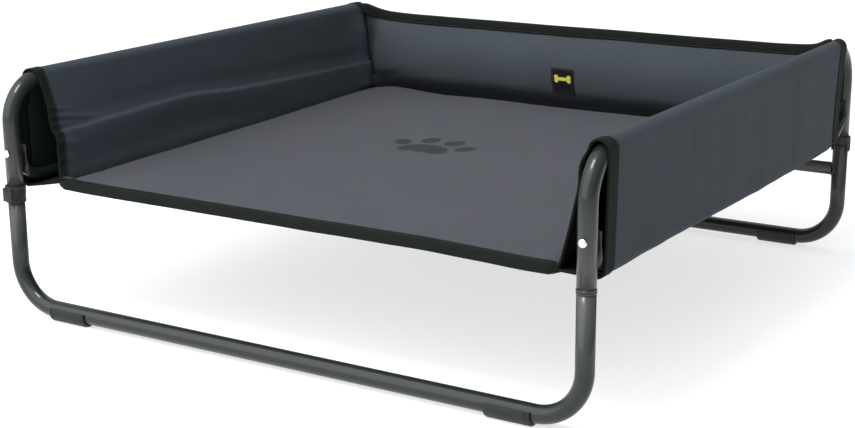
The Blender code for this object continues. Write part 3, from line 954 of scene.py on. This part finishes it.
sleeve = {
    "railSlack": 0.0020,        # the cloth's outer face to the rails
    "topSlack": 0.0014,
    "thickness": 0.0011,
    "seamRadius": 0.0015,
    "seamDrop": 0.0048,
    "columns": {"outer": 36, "top": 14, "inner": 60, "seam": 6, "under": 16, "bottom": 10},
    "rowSpacing": 0.0045,
    "bindingWidth": 0.014,
    "wideBinding": 0.024,
    "bindingLift": 0.0009,
    "stitchBack": 0.0022,
    "stitchLift": 0.0001,
}
# the inner seam, inwards from the legs, along the bed
seamInsets = {
    -1: [(-0.40, 0.0530), (-0.32, 0.0530), (-0.23, 0.0487), (-0.05, 0.0430), (0.05, 0.0395),
         (0.17, 0.0325), (0.28, 0.0277), (0.375, 0.0260)],
    1: [(-0.40, 0.0430), (-0.32, 0.0440), (-0.05, 0.0405), (0.17, 0.0325), (0.375, 0.0260)],
}
leftCrease = [(-0.38, 0.2440), (-0.20, 0.2485), (-0.10, 0.2495), (0.0, 0.2415), (0.26, 0.2310),
              (0.38, 0.2280)]
# how far the left sleeve's cut edges stand back from its front, by height
leftInnerShift = [(0.182, -0.0105), (0.213, -0.003), (0.236, 0.001), (0.262, 0.003),
                  (0.290, 0.006), (0.320, 0.004)]
leftOuterShift = [(0.270, -0.015), (0.316, 0.0)]
frontWrinkles = [
    ((-0.386, 0.2650), (-0.285, 0.2500), 0.0034, 0.0037),
    ((-0.386, 0.2760), (-0.330, 0.2640), 0.0034, 0.0026),
    ((-0.386, 0.2530), (-0.325, 0.2500), 0.0028, 0.0023),
    ((-0.386, 0.2300), (-0.340, 0.2230), 0.0042, 0.0024),
    ((-0.386, 0.2080), (-0.352, 0.2060), 0.0042, 0.0017),
]


def seamInset(side, y):
    return between(y, seamInsets[side])


def sleeveSection(side, y):
    # cloth pulled round both rails and the inner seam: place, outward direction, stretch and share
    slack = sleeve["railSlack"]
    seam = Vector((legX - seamInset(side, y), lowerRailZ - sleeve["seamDrop"]))
    circles = [
        (Vector((legX, lowerRailZ)), lowerRail["radius"] + slack),
        (Vector((legX, topRailZ)), tubeRadius + sleeve["topSlack"]),
        (seam, sleeve["seamRadius"] + slack),
    ]
    bearings = []
    for i, (centre, radius) in enumerate(circles):
        nextCentre, nextRadius = circles[(i + 1) % 3]
        run = nextCentre - centre
        lean = math.asin((radius - nextRadius) / run.length)
        bearings.append(math.atan2(run.y, run.x) - math.pi / 2 + lean)
    points = []
    for i, (panel, turn) in enumerate((("outer", "top"), ("inner", "seam"), ("under", "bottom"))):
        centre, radius = circles[i]
        nextCentre, nextRadius = circles[(i + 1) % 3]
        facing = Vector((math.cos(bearings[i]), math.sin(bearings[i])))
        start = centre + facing * radius
        end = nextCentre + facing * nextRadius
        count = sleeve["columns"][panel]
        points += [(start.lerp(end, j / count), facing, panel, j / count) for j in range(count)]
        sweep = (bearings[(i + 1) % 3] - bearings[i]) % (2 * math.pi)
        count = sleeve["columns"][turn]
        for j in range(count):
            bearing = bearings[i] + sweep * j / count
            facing = Vector((math.cos(bearing), math.sin(bearing)))
            points.append((nextCentre + facing * nextRadius, facing, turn, j / count))
    return points


def ridge(y, z, start, end, width, height):
    # a small fold that starts at one point and dies out at another
    run = Vector(end) - Vector(start)
    offset = Vector((y, z)) - Vector(start)
    share = offset.dot(run) / run.length_squared
    if share < -0.1 or share > 1:
        return 0.0
    gap = (offset - run * share).length
    fade = smooth(-0.1, 0.15, share) * (1 - max(0, share)) ** 0.7
    return height * math.exp(-(gap / width) ** 2) * fade


def innerPush(side, y, z, share):
    # the inner panel: one long soft crease, small folds at its front and a roll at its rear end
    push = ripples(y, z, [(0.0012, 10, 15, 3.0 * side), (0.0005, 34, 30, 9.0 * side)])
    if side < 0:
        below = between(y, leftCrease) - z
        size = 0.0070 - 0.0044 * smooth(-0.10, 0.30, y) - 0.0036 * (1 - smooth(-0.385, -0.33, y))
        push += size * smooth(-0.0012, 0.0030, below) * (1 - smooth(0.002, 0.052, below))
        push -= 0.0016 * hump(below, -0.014, 0.012)
        for start, end, width, height in frontWrinkles:
            push += ridge(y, z, start, end, width, height)
    else:
        push += 0.0045 * hump(z, 0.294, 0.016) * (1 - smooth(-0.40, -0.25, y))
        push -= 0.0020 * hump(z, 0.225, 0.030) * (1 - smooth(-0.40, -0.25, y))
    roll = 0.0080 * hump(y, 0.350, 0.018) - 0.0150 * smooth(0.356, 0.386, y)
    push += roll * smooth(0.03, 0.30, share)
    return push * smooth(0.0, 0.10, share) * (1 - smooth(0.92, 1.0, share))


def outerPush(side, y, z, share):
    # the outer panel hangs nearly flat, with slight upright folds
    push = 0.0022 * softNoise(y * 12, z * 3.0, 7.0 + side) - 0.0004
    push += 0.0009 * softNoise(y * 31, z * 6.0, 17.0 + side)
    push += 0.0003 * softNoise(y * 75, z * 12.0, 27.0 + side)
    push += 0.0008 * hump(y, -0.385, 0.012)
    return push * smooth(0.0, 0.14, share) * (1 - smooth(0.84, 1.0, share))


def sleeveDrop(side, part, share, y):
    # how far the foot of the sleeve hangs below the lower rail
    if side > 0:
        sag = 0.0048 * smooth(-0.28, 0.12, y) * (1 - smooth(0.338, 0.372, y))
        sag += 0.0008 * softNoise(y * 22, 0.0, 4.0)
    else:
        sag = 0.0026 * hump(y, -0.375, 0.03) + 0.0030 * smooth(-0.25, 0.15, y)
        sag += 0.0010 * softNoise(y * 26, 0.0, 6.0)
    weights = {"bottom": 1.0, "under": share, "outer": 1 - smooth(0.0, 0.32, share)}
    drop = sag * weights.get(part, 0.0)
    if side < 0:
        lift = 0.0055 * (1 - smooth(-0.390, -0.325, y))
        weights = {"seam": 1.0, "under": 1 - share, "inner": smooth(0.72, 1.0, share)}
        drop -= lift * weights.get(part, 0.0)
    return drop


def endShift(side, part, share, y, z):
    # the cut edges are not square: the left front slants, and both rears reach back to the wall
    shift = 0.0
    if side < 0:
        near = 1 - smooth(sleeveFrontY[-1], sleeveFrontY[-1] + 0.12, y)
        seamEnd = leftInnerShift[0][1]
        outerEnd = leftOuterShift[0][1]
        front = {
            "outer": between(z, leftOuterShift),
            "top": leftInnerShift[-1][1] * smooth(0.3, 1.0, share),
            "inner": between(z, leftInnerShift),
            "seam": seamEnd,
            "under": seamEnd + (outerEnd - seamEnd) * smooth(0.0, 0.6, share),
            "bottom": outerEnd,
        }
        shift += near * front[part]
    near = smooth(sleeveRearY - 0.10, sleeveRearY, y)
    rear = {"outer": 0.008 * smooth(0.3, 1.0, share), "top": 0.008 + 0.010 * share,
            "inner": 0.0205, "seam": 0.0205 - 0.006 * share,
            "under": 0.0145 * (1 - smooth(0.0, 0.6, share))}
    return shift + near * rear.get(part, 0.0)


def sleevePoint(side, sample, y, outward=0.0):
    place, facing, part, share = sample
    push = outward
    if part == "inner":
        push += innerPush(side, y, place.y, share)
    elif part == "outer":
        push += outerPush(side, y, place.y, share)
    u = place.x + facing.x * push
    z = place.y + facing.y * push - sleeveDrop(side, part, share, y)
    return Vector((side * u, y + endShift(side, part, share, y, place.y), z))


def makeSleeve(word, side):
    length = sleeveRearY - sleeveFrontY[side]
    count = round(length / sleeve["rowSpacing"])
    rows = []
    uvRows = []
    for i in range(count + 1):
        y = sleeveFrontY[side] + length * i / count
        row = [sleevePoint(side, sample, y) for sample in sleeveSection(side, y)]
        steps = [(row[j - 1] - row[j]).length for j in range(len(row))]
        run = 0.0
        uvRow = []
        for j in range(len(row)):
            uvRow.append((run, y))
            run += steps[(j + 1) % len(row)]
        uvRow.append((run, y))
        rows.append(row)
        uvRows.append(uvRow)
    mesh = gridMesh(f"{word}Sleeve", rows, closedAcross=True, uvRows=uvRows)
    bedTop = boxOf("sling_pad")[1].z
    # painted shade: darker along the foot of the inner panel where it meets the pad
    markPaintedShade(mesh, lambda p: 0.8 * (1 - smooth(bedTop - 0.001, bedTop + 0.010, p.z))
              * smooth(0.020, 0.034, legX - abs(p.x)))
    piece = addPiece(f"{word}Sleeve", mesh, sleeveCloth, sleeveBacking)
    addWall(piece, sleeve["thickness"], 1)
    settle(piece, bedBody, "sleeve_cloth", f"{word}_side_sleeve")
    return piece, run, length


def bindingWidth(part, share):
    # the binding is wider on the outer panel
    wide = {"outer": 1.0, "top": 1 - share, "bottom": share}.get(part, 0.0)
    return sleeve["bindingWidth"] + (sleeve["wideBinding"] - sleeve["bindingWidth"]) * wide


def makeBinding(word, side, end):
    # a folded tape over the sleeve's cut edge, outside and inside
    endY = sleeveFrontY[side] if end == "front" else sleeveRearY
    inwards = 1 if end == "front" else -1
    lift = sleeve["bindingLift"]
    wall = sleeve["thickness"]
    profile = [
        (1.0, 0.0001, 0.0), (1.0, lift * 0.8, 0.0), (0.8, lift, 0.0), (0.6, lift, 0.0),
        (0.4, lift, 0.0), (0.2, lift, 0.0),
        (0.0, lift * 0.9, 0.0), (0.0, 0.0, -lift), (0.0, -wall - lift * 0.9, 0.0),
        (0.7, -wall - lift, 0.0), (0.7, -wall, 0.0), (0.3, -wall * 0.5, 0.0),
    ]
    rows = []
    for along, outward, beyond in profile:
        row = []
        for j, plain in enumerate(sleeveSection(side, endY)):
            width = bindingWidth(plain[2], plain[3])
            y = endY + inwards * along * width
            sample = sleeveSection(side, y)[j] if along else plain
            point = sleevePoint(side, sample, y, outward)
            point.y += inwards * beyond
            row.append(point)
        rows.append(row)
    name = f"{word}Sleeve{end.title()}Binding"
    mesh = gridMesh(name, rows, True, True, uvOf=lambda p: (p[0] + p[1], p[2] + p[1]))
    piece = addPiece(name, mesh, tapeCloth)
    return settle(piece, bedBody, "tape_cloth", f"{word}_sleeve_{end}_tape")


def sleeveStitchPath(side, end):
    endY = sleeveFrontY[side] if end == "front" else sleeveRearY
    inwards = 1 if end == "front" else -1
    path = []
    for j, plain in enumerate(sleeveSection(side, endY)):
        width = bindingWidth(plain[2], plain[3])
        y = endY + inwards * (width - sleeve["stitchBack"])
        lift = sleeve["bindingLift"] + sleeve["stitchLift"]
        path.append(sleevePoint(side, sleeveSection(side, y)[j], y, lift))
    return path


def addStitches(name, paths, spacing=0.0036):
    sizes = {"Spacing": spacing, "Length": spacing * 0.72, "Width": 0.0007, "Seed": 4}
    piece = grow(name, stitchTree, paths, sizes, sewingThread)
    return settle(piece, bedBody, "tape_cloth")


for word, side in sides.items():
    piece, girth, length = makeSleeve(word, side)
    going = [makeBinding(word, side, "front"), makeBinding(word, side, "rear")]
    rows = [(sleeveStitchPath(side, end), True) for end in ("front", "rear")]
    going.append(addStitches(f"{word}SleeveStitches", rows))
print("sleeves made")


# Bed: base cloth, pad and front tape

bed = {
    "seamGap": 0.0049,
    "padLow": boxOf("sling_pad")[0],
    "padHigh": boxOf("sling_pad")[1],
    "baseLow": boxOf("sling_base_cloth")[0],
    "baseHigh": boxOf("sling_base_cloth")[1],
    "cell": 0.0062,
    "pressure": 4.0,
    "swell": 0.0030,
    "spare": 0.004,             # cloth to spare for the swell
    "quickSwell": 0.0024,
    "underGap": 0.0006,
    "crownRoom": 0.0012,
    "sideBulge": 0.0012,
    "pinnedSide": 0.004,
    "pinnedFront": 0.009,
    "pinnedRear": 0.006,
    "tapeReach": 0.0115,
    "tapeThickness": 0.0010,
    "tapeEnds": (-0.3650, 0.3740),
    "tapeSteps": 190,
    "baseUnder": 0.0035,        # the base cloth's reach under each sleeve
}


def bedEdge(side, y):
    return side * (legX - seamInset(side, y) - bed["seamGap"])


def toBedEdge(x, y):
    return min(bedEdge(1, y) - x, x - bedEdge(-1, y))


def frontLift(x, y):
    # the sling's front edge: a little up at the left seam and down at the right one
    near = hump(y, bed["padLow"].y, 0.055)
    left = 0.0012 * (1 - smooth(-0.362, -0.300, x))
    right = -0.0036 * smooth(0.200, 0.350, x)
    ripple = 0.0007 * softNoise(x * 14, 0.0, 11.0)
    return near * (left + right + ripple)


def inflate(piece, pinned, pressure, swell, spare):
    # blows the closed cover up with cloth simulation, each point moving no further than the swell
    group = piece.vertex_groups.new(name="pinned")
    group.add(pinned, 1.0, "REPLACE")
    start = [vert.co.copy() for vert in piece.data.vertices]
    step = piece.modifiers.new("cloth", "CLOTH")
    cloth = step.settings
    cloth.quality = 5
    cloth.mass = 0.25
    cloth.tension_stiffness = 12
    cloth.compression_stiffness = 12
    cloth.shear_stiffness = 4
    cloth.bending_stiffness = 0.4
    cloth.vertex_group_mass = "pinned"
    cloth.use_pressure = True
    cloth.uniform_pressure_force = pressure
    cloth.shrink_min = -spare
    cloth.effector_weights.gravity = 0
    step.point_cache.frame_start = 1
    step.point_cache.frame_end = 20
    scene = bpy.context.scene
    for number in range(1, 21):
        scene.frame_set(number)
    graph = bpy.context.evaluated_depsgraph_get()
    blown = piece.evaluated_get(graph).to_mesh()
    moved = [vert.co.copy() for vert in blown.vertices]
    piece.evaluated_get(graph).to_mesh_clear()
    piece.modifiers.remove(step)
    piece.vertex_groups.remove(group)
    scene.frame_set(1)
    for vert, old, new in zip(piece.data.vertices, start, moved):
        travel = new - old
        if travel.length > swell:
            travel *= swell / travel.length
        vert.co = old + travel


def subdivided(piece, levels=1):
    step = piece.modifiers.new("finer", "SUBSURF")
    step.levels = levels
    step.render_levels = levels
    graph = bpy.context.evaluated_depsgraph_get()
    mesh = bpy.data.meshes.new_from_object(piece.evaluated_get(graph))
    piece.modifiers.clear()
    piece.data = mesh
    mesh.shade_smooth()
    return piece


def padSoftness(x, y):
    # slow waves over the pad, fine puckers at the bound front edge, swells and a fold at the left
    front, rear = bed["padLow"].y, bed["padHigh"].y
    soft = ripples(x, y, [(0.0012, 7, 7, 21.0), (0.0006, 19, 21, 23.0)])
    soft += 0.0010 * softNoise(x * 60, y * 9, 29.0) * hump(y, front + 0.012, 0.03)
    soft += 0.0035 * hump(x, -0.325, 0.045) * hump(y, rear - 0.02, 0.05)
    soft += 0.0016 * hump(x, -0.300, 0.030) * hump(y, front + 0.06, 0.022)
    soft -= 0.0012 * hump(x + 0.4 * (y - front), -0.280, 0.012) * hump(y, front + 0.05, 0.05)
    edge = min(1.0, toBedEdge(x, y) / 0.05)
    seam = 0.0040 * (1 - smooth(0.0, 0.012, toBedEdge(x, y)))
    return soft * max(0.25, edge) - seam


def makePad():
    low = bed["padLow"]
    high = bed["padHigh"]
    length = high.y - low.y
    rowCount = round(length / bed["cell"])
    columnCount = round((bedEdge(1, low.y) - bedEdge(-1, low.y)) / bed["cell"])
    bottom = low.z + bed["underGap"]
    top = high.z - bed["crownRoom"]
    middle = (bottom + top) / 2
    rows = []
    for i in range(rowCount + 1):
        y = low.y + length * i / rowCount
        left, right = bedEdge(-1, y), bedEdge(1, y)
        flat = i in (0, rowCount)
        upper = [(left + (right - left) * j / columnCount, y) for j in range(columnCount + 1)]
        row = [(x, y, middle if flat else top) for x, y in upper]
        row.append((right + bed["sideBulge"], y, middle))
        row += [(x, y, middle if flat else bottom) for x, y in reversed(upper)]
        row.append((left - bed["sideBulge"], y, middle))
        rows.append(row)
    mesh = gridMesh("bedPad", rows, closedAcross=True, uvOf=lambda p: (p[0], p[1]))
    pad = addPiece("bedPad", mesh, bedCloth)
    pinned = []
    for vert in mesh.vertices:
        x, y = vert.co.xy
        atEnd = y < low.y + bed["pinnedFront"] or y > high.y - bed["pinnedRear"]
        if atEnd or toBedEdge(x, y) < bed["pinnedSide"]:
            pinned.append(vert.index)
    inflate(pad, pinned, bed["pressure"], bed["swell"], bed["spare"])
    for vert in mesh.vertices:
        x, y, z = vert.co
        height = max(0.0, min(1.0, (z - middle) / (top - middle)))
        vert.co.z = z + height * padSoftness(x, y) + frontLift(x, y)
        if y < low.y + bed["tapeReach"] + 0.002:
            ceiling = high.z + 0.0002 + frontLift(x, y)
            vert.co.z = min(vert.co.z, ceiling)
    # painted shade: darker along the pad's side seams and at its rear edge by the wall
    markPaintedShade(mesh, lambda p: max(
        1 - smooth(-0.001, 0.0075, toBedEdge(p.x, p.y)), smooth(high.y - 0.012, high.y, p.y)
    ))
    subdivided(pad)
    settle(pad, bedBody, "bed_cloth", "sling_pad")
    return pad


def makeBase():
    # the strong cloth under the pad, stretched between the sleeves' inner seams
    low = bed["baseLow"]
    high = bed["baseHigh"]
    rows = []
    uvRows = []
    for i in range(91):
        y = low.y + (high.y - low.y) * i / 90
        tuckIn = 0.007 * (1 - smooth(low.y, low.y + 0.025, y))
        flare = 0.0120 * smooth(0.389, 0.398, y)     # closes the rear corners
        spread = bed["baseUnder"] - tuckIn + flare
        left, right = bedEdge(-1, y) - spread, bedEdge(1, y) + spread
        row = []
        for j in range(81):
            x = left + (right - left) * j / 80
            share = (1 - (2 * j / 80 - 1) ** 2) * (1 - (2 * i / 90 - 1) ** 4)
            dip = -0.0018 * share + 0.0005 * softNoise(x * 9, y * 9, 31.0) * share
            row.append((x, y, high.z + dip + frontLift(x, y)))
        rows.append(row)
        uvRows.append([point[:2] for point in row])
    mesh = gridMesh("baseCloth", rows, uvRows=uvRows)
    if mesh.polygons[0].normal.z < 0:
        mesh.flip_normals()
    piece = addPiece("baseCloth", mesh, bedCloth, sleeveBacking)
    addWall(piece, bed["baseHigh"].z - bed["baseLow"].z - 0.0004, 1)
    settle(piece, bedBody, "bed_cloth", "sling_base_cloth")
    return piece


def makeFrontTape():
    # the binding folded over the front edges of the pad and the base cloth
    low = bed["baseLow"]
    frontY = low.y
    top = bed["padHigh"].z + 0.0010
    bottom = low.z - 0.0010
    reachIn = bed["tapeReach"]
    profile = [
        (frontY + reachIn, top - 0.0001), (frontY + reachIn * 0.6, top + 0.0001),
        (frontY + 0.0010, top + 0.0001), (frontY - 0.0012, top - 0.0010),
        (frontY - 0.0024, top - 0.0036), (frontY - 0.0027, (top + bottom) / 2),
        (frontY - 0.0022, bottom + 0.0030), (frontY - 0.0008, bottom + 0.0004),
        (frontY + 0.0020, bottom), (frontY + reachIn * 0.9, bottom),
    ]
    rows = []
    left, right = bed["tapeEnds"]
    for i in range(bed["tapeSteps"] + 1):
        x = left + (right - left) * i / bed["tapeSteps"]
        row = []
        slim = 0.5 * (1 - smooth(0.0, 0.012, min(x - left, right - x)))
        for y, z in profile:
            wave = 0.0006 * softNoise(x * 26, z * 40, 37.0)
            z -= slim * (z - (top + bottom) / 2 + 0.001)
            y += slim * (frontY + reachIn * 0.6 - y)
            row.append((x, y - wave, z + frontLift(x, frontY) + wave * 0.5))
        rows.append(row)
    name = "bedFrontTape"
    mesh = gridMesh(name, rows, uvOf=lambda p: (p[0], p[1] + p[2]))
    piece = addPiece(name, mesh, tapeCloth)
    addWall(piece, bed["tapeThickness"])
    settle(piece, bedBody, "tape_cloth", "sling_front_tape")
    y = frontY + reachIn - 0.0022
    places = [row[0][0] for row in rows[2:-2]]
    paths = [([(x, y, top + 0.0004 + frontLift(x, frontY)) for x in places], False)]
    x = left + 0.004
    z = top + 0.0006 + frontLift(x, frontY)
    for i in range(7):          # the bar of stitches at the left end
        y = frontY + 0.004 + 0.0016 * i
        paths.append(([(x, y, z), (x + 0.010, y + 0.001, z)], False))
    stitches = addStitches("bedFrontStitches", paths)
    return piece, stitches


pad = makePad()
base = makeBase()
frontTape, frontStitches = makeFrontTape()
print("bed made")


# Rear wall

wallBox = boxOf("rear_wall_cover")
tapeBox = boxOf("rear_wall_top_tape")
patchBox = boxOf("rear_wall_patch")
wall = {
    "backY": wallBox[1].y,
    "bottomZ": bed["baseHigh"].z + 0.0005,
    "topZ": tapeBox[1].z,
    "tapeHeight": tapeBox[1].z - tapeBox[0].z,
    "halfWidth": wallBox[1].x + 0.0035,
    "cell": 0.0052,
    "columns": 26,
    "pressure": 4.0,
    "swell": 0.0025,
    "spare": 0.001,
    "pinnedEdge": 0.004,
    "endDepth": 0.55,           # the ends' share of the full depth
    "sag": 0.0028,
    "cornerRise": 0.0120,
    "cornerForward": 0.0165,
}
wallDepths = [
    (0.0, 0.0020), (0.06, 0.0024), (0.11, 0.0048), (0.16, 0.0100), (0.21, 0.0170), (0.27, 0.0232),
    (0.35, 0.0270), (0.46, 0.0284), (0.62, 0.0268), (0.78, 0.0225), (0.87, 0.0175),
    (0.945, 0.0118), (1.0, 0.0095),
]


def wallTop(x):
    toEnd = wall["halfWidth"] - abs(x)
    sag = wall["sag"] * smooth(0.0, 0.10, toEnd) + 0.0006 * softNoise(x * 8, 0.0, 41.0)
    return wall["topZ"] - sag + wall["cornerRise"] * math.exp(-(toEnd / 0.020) ** 2)


def wallForward(x, z):
    # the top corners are drawn forwards to the ends of the sleeves
    ends = smooth(wall["halfWidth"] - 0.034, wall["halfWidth"], abs(x))
    return wall["cornerForward"] * ends * smooth(0.262, 0.315, z)


def makeWall():
    columns = wall["columns"]
    rowCount = round(2 * wall["halfWidth"] / wall["cell"])
    rows = []
    for i in range(rowCount + 1):
        x = -wall["halfWidth"] + 2 * wall["halfWidth"] * i / rowCount
        top = wallTop(x) - wall["tapeHeight"] * 0.55
        height = top - wall["bottomZ"]
        ends = smooth(0.0, 0.035, wall["halfWidth"] - abs(x))
        flat = i in (0, rowCount)
        front = []
        back = []
        for j in range(columns + 1):
            share = j / columns
            z = wall["bottomZ"] + height * share
            depth = between(share, wallDepths) * (wall["endDepth"] + (1 - wall["endDepth"]) * ends)
            tuck = 0.0016 * softNoise(x * 16, z * 5, 43.0) * ends
            backY = wall["backY"] - wallForward(x, z)
            front.append((x, (backY - depth / 2) if flat else backY - depth - tuck, z))
            back.append((x, (backY - depth / 2) if flat else backY, z))
        rows.append(front + list(reversed(back)))
    mesh = gridMesh("rearWallCushion", rows, closedAcross=True, uvOf=lambda p: (p[0], p[2]))
    piece = addPiece("rearWallCushion", mesh, litWallCloth)
    pinned = []
    for vert in mesh.vertices:
        top = wallTop(vert.co.x) - wall["tapeHeight"]
        onBack = vert.co.y > wall["backY"] - wallForward(vert.co.x, vert.co.z) - 0.0002
        edge = vert.co.z > top or vert.co.z < wall["bottomZ"] + wall["pinnedEdge"]
        if onBack or edge or abs(vert.co.x) > wall["halfWidth"] - wall["pinnedEdge"]:
            pinned.append(vert.index)
    inflate(piece, pinned, wall["pressure"], wall["swell"], wall["spare"])
    bedTop = bed["padHigh"].z
    # painted shade: darker towards the bottom crease at the bed, and towards the ends where the wall
    # meets the sleeves
    markPaintedShade(mesh, lambda p: max(
        1 - smooth(bedTop + 0.001, bedTop + 0.024 + 0.006 * softNoise(p.x * 9, 0.0, 53.0), p.z),
        0.6 * smooth(wall["halfWidth"] - 0.030, wall["halfWidth"] - 0.008, abs(p.x)),
    ))
    subdivided(piece)
    settle(piece, bedBody, "sleeve_cloth", "rear_wall_cover", "rear_wall_foam")
    return piece


def makeWallTape():
    reach = wall["tapeHeight"]
    rows = []
    paths = {1: [], -1: []}
    count = 200
    for i in range(count + 1):
        x = -wall["halfWidth"] + 2 * wall["halfWidth"] * i / count
        top = wallTop(x)
        middle = wall["backY"] - wallForward(x, top) - 0.0050
        ripple = 0.0004 * softNoise(x * 24, 1.0, 47.0)
        profile = [
            (-0.0082, top - reach - ripple), (-0.0072, top - reach * 0.6), (-0.0060, top - 0.0030),
            (-0.0036, top - 0.0006), (0.0, top), (0.0036, top - 0.0006), (0.0056, top - 0.0030),
            (0.0060, top - reach * 0.6), (0.0062, top - reach * 0.98 + ripple),
        ]
        rows.append([(x, middle + y, z) for y, z in profile])
        for face, (y, z) in ((-1, profile[0]), (1, profile[-1])):
            point = (x, middle + y + face * 0.0002, z + 0.0024)
            paths[face].append(point)
    mesh = gridMesh("rearWallTape", rows, uvOf=lambda p: (p[0], p[1] + p[2]))
    piece = addPiece("rearWallTape", mesh, tapeCloth)
    addWall(piece, 0.0010)
    settle(piece, bedBody, "tape_cloth", "rear_wall_top_tape")
    stitches = addStitches("rearWallStitches", [(path, False) for path in paths.values()])
    return piece, stitches


patch = {
    "shift": 0.004,
    "cells": 16,
    "thickness": 0.0009,
    "lift": 0.0012,
    "stitchLift": 0.0014,
    "stitchInset": 0.0022,
    "stitchSpacing": 0.0028,
    "stitchSteps": 12,
    "markRise": 0.004,
}


def makePatch(cushion):
    # a sewn label that follows the wall, with a plain bone on it
    low, high, middle = patchBox
    mark = boneShapes(middle.x + patch["shift"], middle.z + patch["markRise"])
    material = makeCloth(patchLook, [(mark, patchMark["colour"], patchMark["strength"])])
    tree = BVHTree.FromObject(cushion, bpy.context.evaluated_depsgraph_get())

    def onWall(x, z, lift):
        hit = tree.ray_cast(Vector((x, 0.0, z)), Vector((0, 1, 0)))[0]
        return (x, hit.y - lift, z)

    low.x, high.x = low.x + patch["shift"], high.x + patch["shift"]
    cells = patch["cells"]
    rows = []
    for i in range(cells + 1):
        z = low.z + (high.z - low.z) * i / cells
        places = [low.x + (high.x - low.x) * j / cells for j in range(cells + 1)]
        rows.append([onWall(x, z, patch["lift"]) for x in places])
    mesh = gridMesh("wallPatch", rows, uvOf=lambda p: (p[0], p[2]))
    if mesh.polygons[0].normal.y > 0:
        mesh.flip_normals()
    piece = addPiece("wallPatch", mesh, material)
    addWall(piece, patch["thickness"])
    settle(piece, bedBody, "patch_cloth", "rear_wall_patch")
    left, right = low.x + patch["stitchInset"], high.x - patch["stitchInset"]
    foot, head = low.z + patch["stitchInset"], high.z - patch["stitchInset"]
    corners = [(left, foot), (right, foot), (right, head), (left, head)]
    border = []
    for (xA, zA), (xB, zB) in zip(corners, corners[1:] + corners[:1]):
        for step in range(patch["stitchSteps"]):
            share = step / patch["stitchSteps"]
            x, z = xA + (xB - xA) * share, zA + (zB - zA) * share
            border.append(onWall(x, z, patch["stitchLift"]))
    stitches = addStitches("wallPatchStitches", [(border, True)], patch["stitchSpacing"])


cushion = makeWall()
wallTape, wallStitches = makeWallTape()
makePatch(cushion)
print("rear wall made")


# Floor, light and camera

stageLook = {
    "floorSize": 30.0,
    "floorColour": (0.42, 0.42, 0.42),
    "floorGlow": 0.67,          # a backlit white sweep
    "worldFacing": (-0.35, -0.78, 0.52),     # the studio is brighter on this side
    "worldReach": (0.30, 1.35),
}
lamps = [
    # name, place, aim, size, power
    ("key", (-1.5, -3.1, 2.8), (0.0, 0.2, 0.2), 5.6, 158.0),
    ("top", (-0.15, -1.35, 2.7), (0.0, -0.1, 0.2), 0.85, 46.0),
    ("back", (-1.6, 2.8, 2.2), (0.0, 0.0, 0.2), 2.0, 10.0),
]
view = {
    "place": (1.14702413, -1.90824365, 0.68859364),
    "azimuth": math.radians(31.916),
    "elevation": math.radians(14.880),
    "roll": math.radians(-0.366),
    "lens": 68.444,
}


def makeFloor():
    half = stageLook["floorSize"] / 2
    mesh = bpy.data.meshes.new("floor")
    mesh.from_pydata(
        [(-half, -half, 0), (half, -half, 0), (half, half, 0), (-half, half, 0)], [], [(0, 1, 2, 3)]
    )
    glow = {"Roughness": 0.9, "Emission Color": (1, 1, 1, 1),
            "Emission Strength": stageLook["floorGlow"]}
    material, tree, shader = startMaterial("floorPaint", glow)
    place = shade(tree, "TexCoord", {}).outputs["Object"]
    colour = stageLook["floorColour"]
    paler = tuple(c * 1.03 for c in colour)
    speckle = noiseOf(tree, place, 3.0)
    tree.links.new(mixColours(tree, speckle, colour, paler), shader.inputs["Base Color"])
    addPiece("floor", mesh, material)


def makeLights():
    world = bpy.data.worlds.new("studio")
    world.use_nodes = True
    tree = world.node_tree
    background = tree.nodes["Background"]
    background.inputs["Color"].default_value = (1, 1, 1, 1)
    ray = shade(tree, "TexCoord", {}).outputs["Generated"]
    towards = {1: stageLook["worldFacing"]}
    facing = shade(tree, "VectorMath", {0: ray}, towards, operation="DOT_PRODUCT").outputs["Value"]
    strength = reach(tree, facing, -0.2, 1.0, *stageLook["worldReach"])
    tree.links.new(strength, background.inputs["Strength"])
    bpy.context.scene.world = world
    for name, place, aim, size, power in lamps:
        lamp = bpy.data.lights.new(name, "AREA")
        lamp.energy = power
        lamp.size = size
        holder = bpy.data.objects.new(name, lamp)
        holder.location = place
        holder.rotation_euler = (Vector(aim) - Vector(place)).to_track_quat("-Z", "Y").to_euler()
        bpy.context.scene.collection.objects.link(holder)


def makeCamera():
    camera = bpy.data.cameras.new("camera")
    camera.lens = view["lens"]
    camera.sensor_width = 36.0
    camera.clip_start = 0.05
    camera.clip_end = 100.0
    azimuth = view["azimuth"]
    elevation = view["elevation"]
    back = Vector((
        math.sin(azimuth) * math.cos(elevation),
        -math.cos(azimuth) * math.cos(elevation),
        math.sin(elevation),
    ))
    right = (-back).cross(Vector((0, 0, 1))).normalized()
    up = right.cross(-back)
    roll = view["roll"]
    axisX = right * math.cos(roll) + up * math.sin(roll)
    axisY = -right * math.sin(roll) + up * math.cos(roll)
    holder = bpy.data.objects.new("camera", camera)
    turn = Matrix((axisX, axisY, back)).transposed().to_4x4()
    holder.matrix_world = Matrix.Translation(view["place"]) @ turn
    bpy.context.scene.collection.objects.link(holder)
    bpy.context.scene.camera = holder


makeFloor()
makeLights()
makeCamera()
bpy.context.scene.view_settings.view_transform = "Standard"
print("stage made")
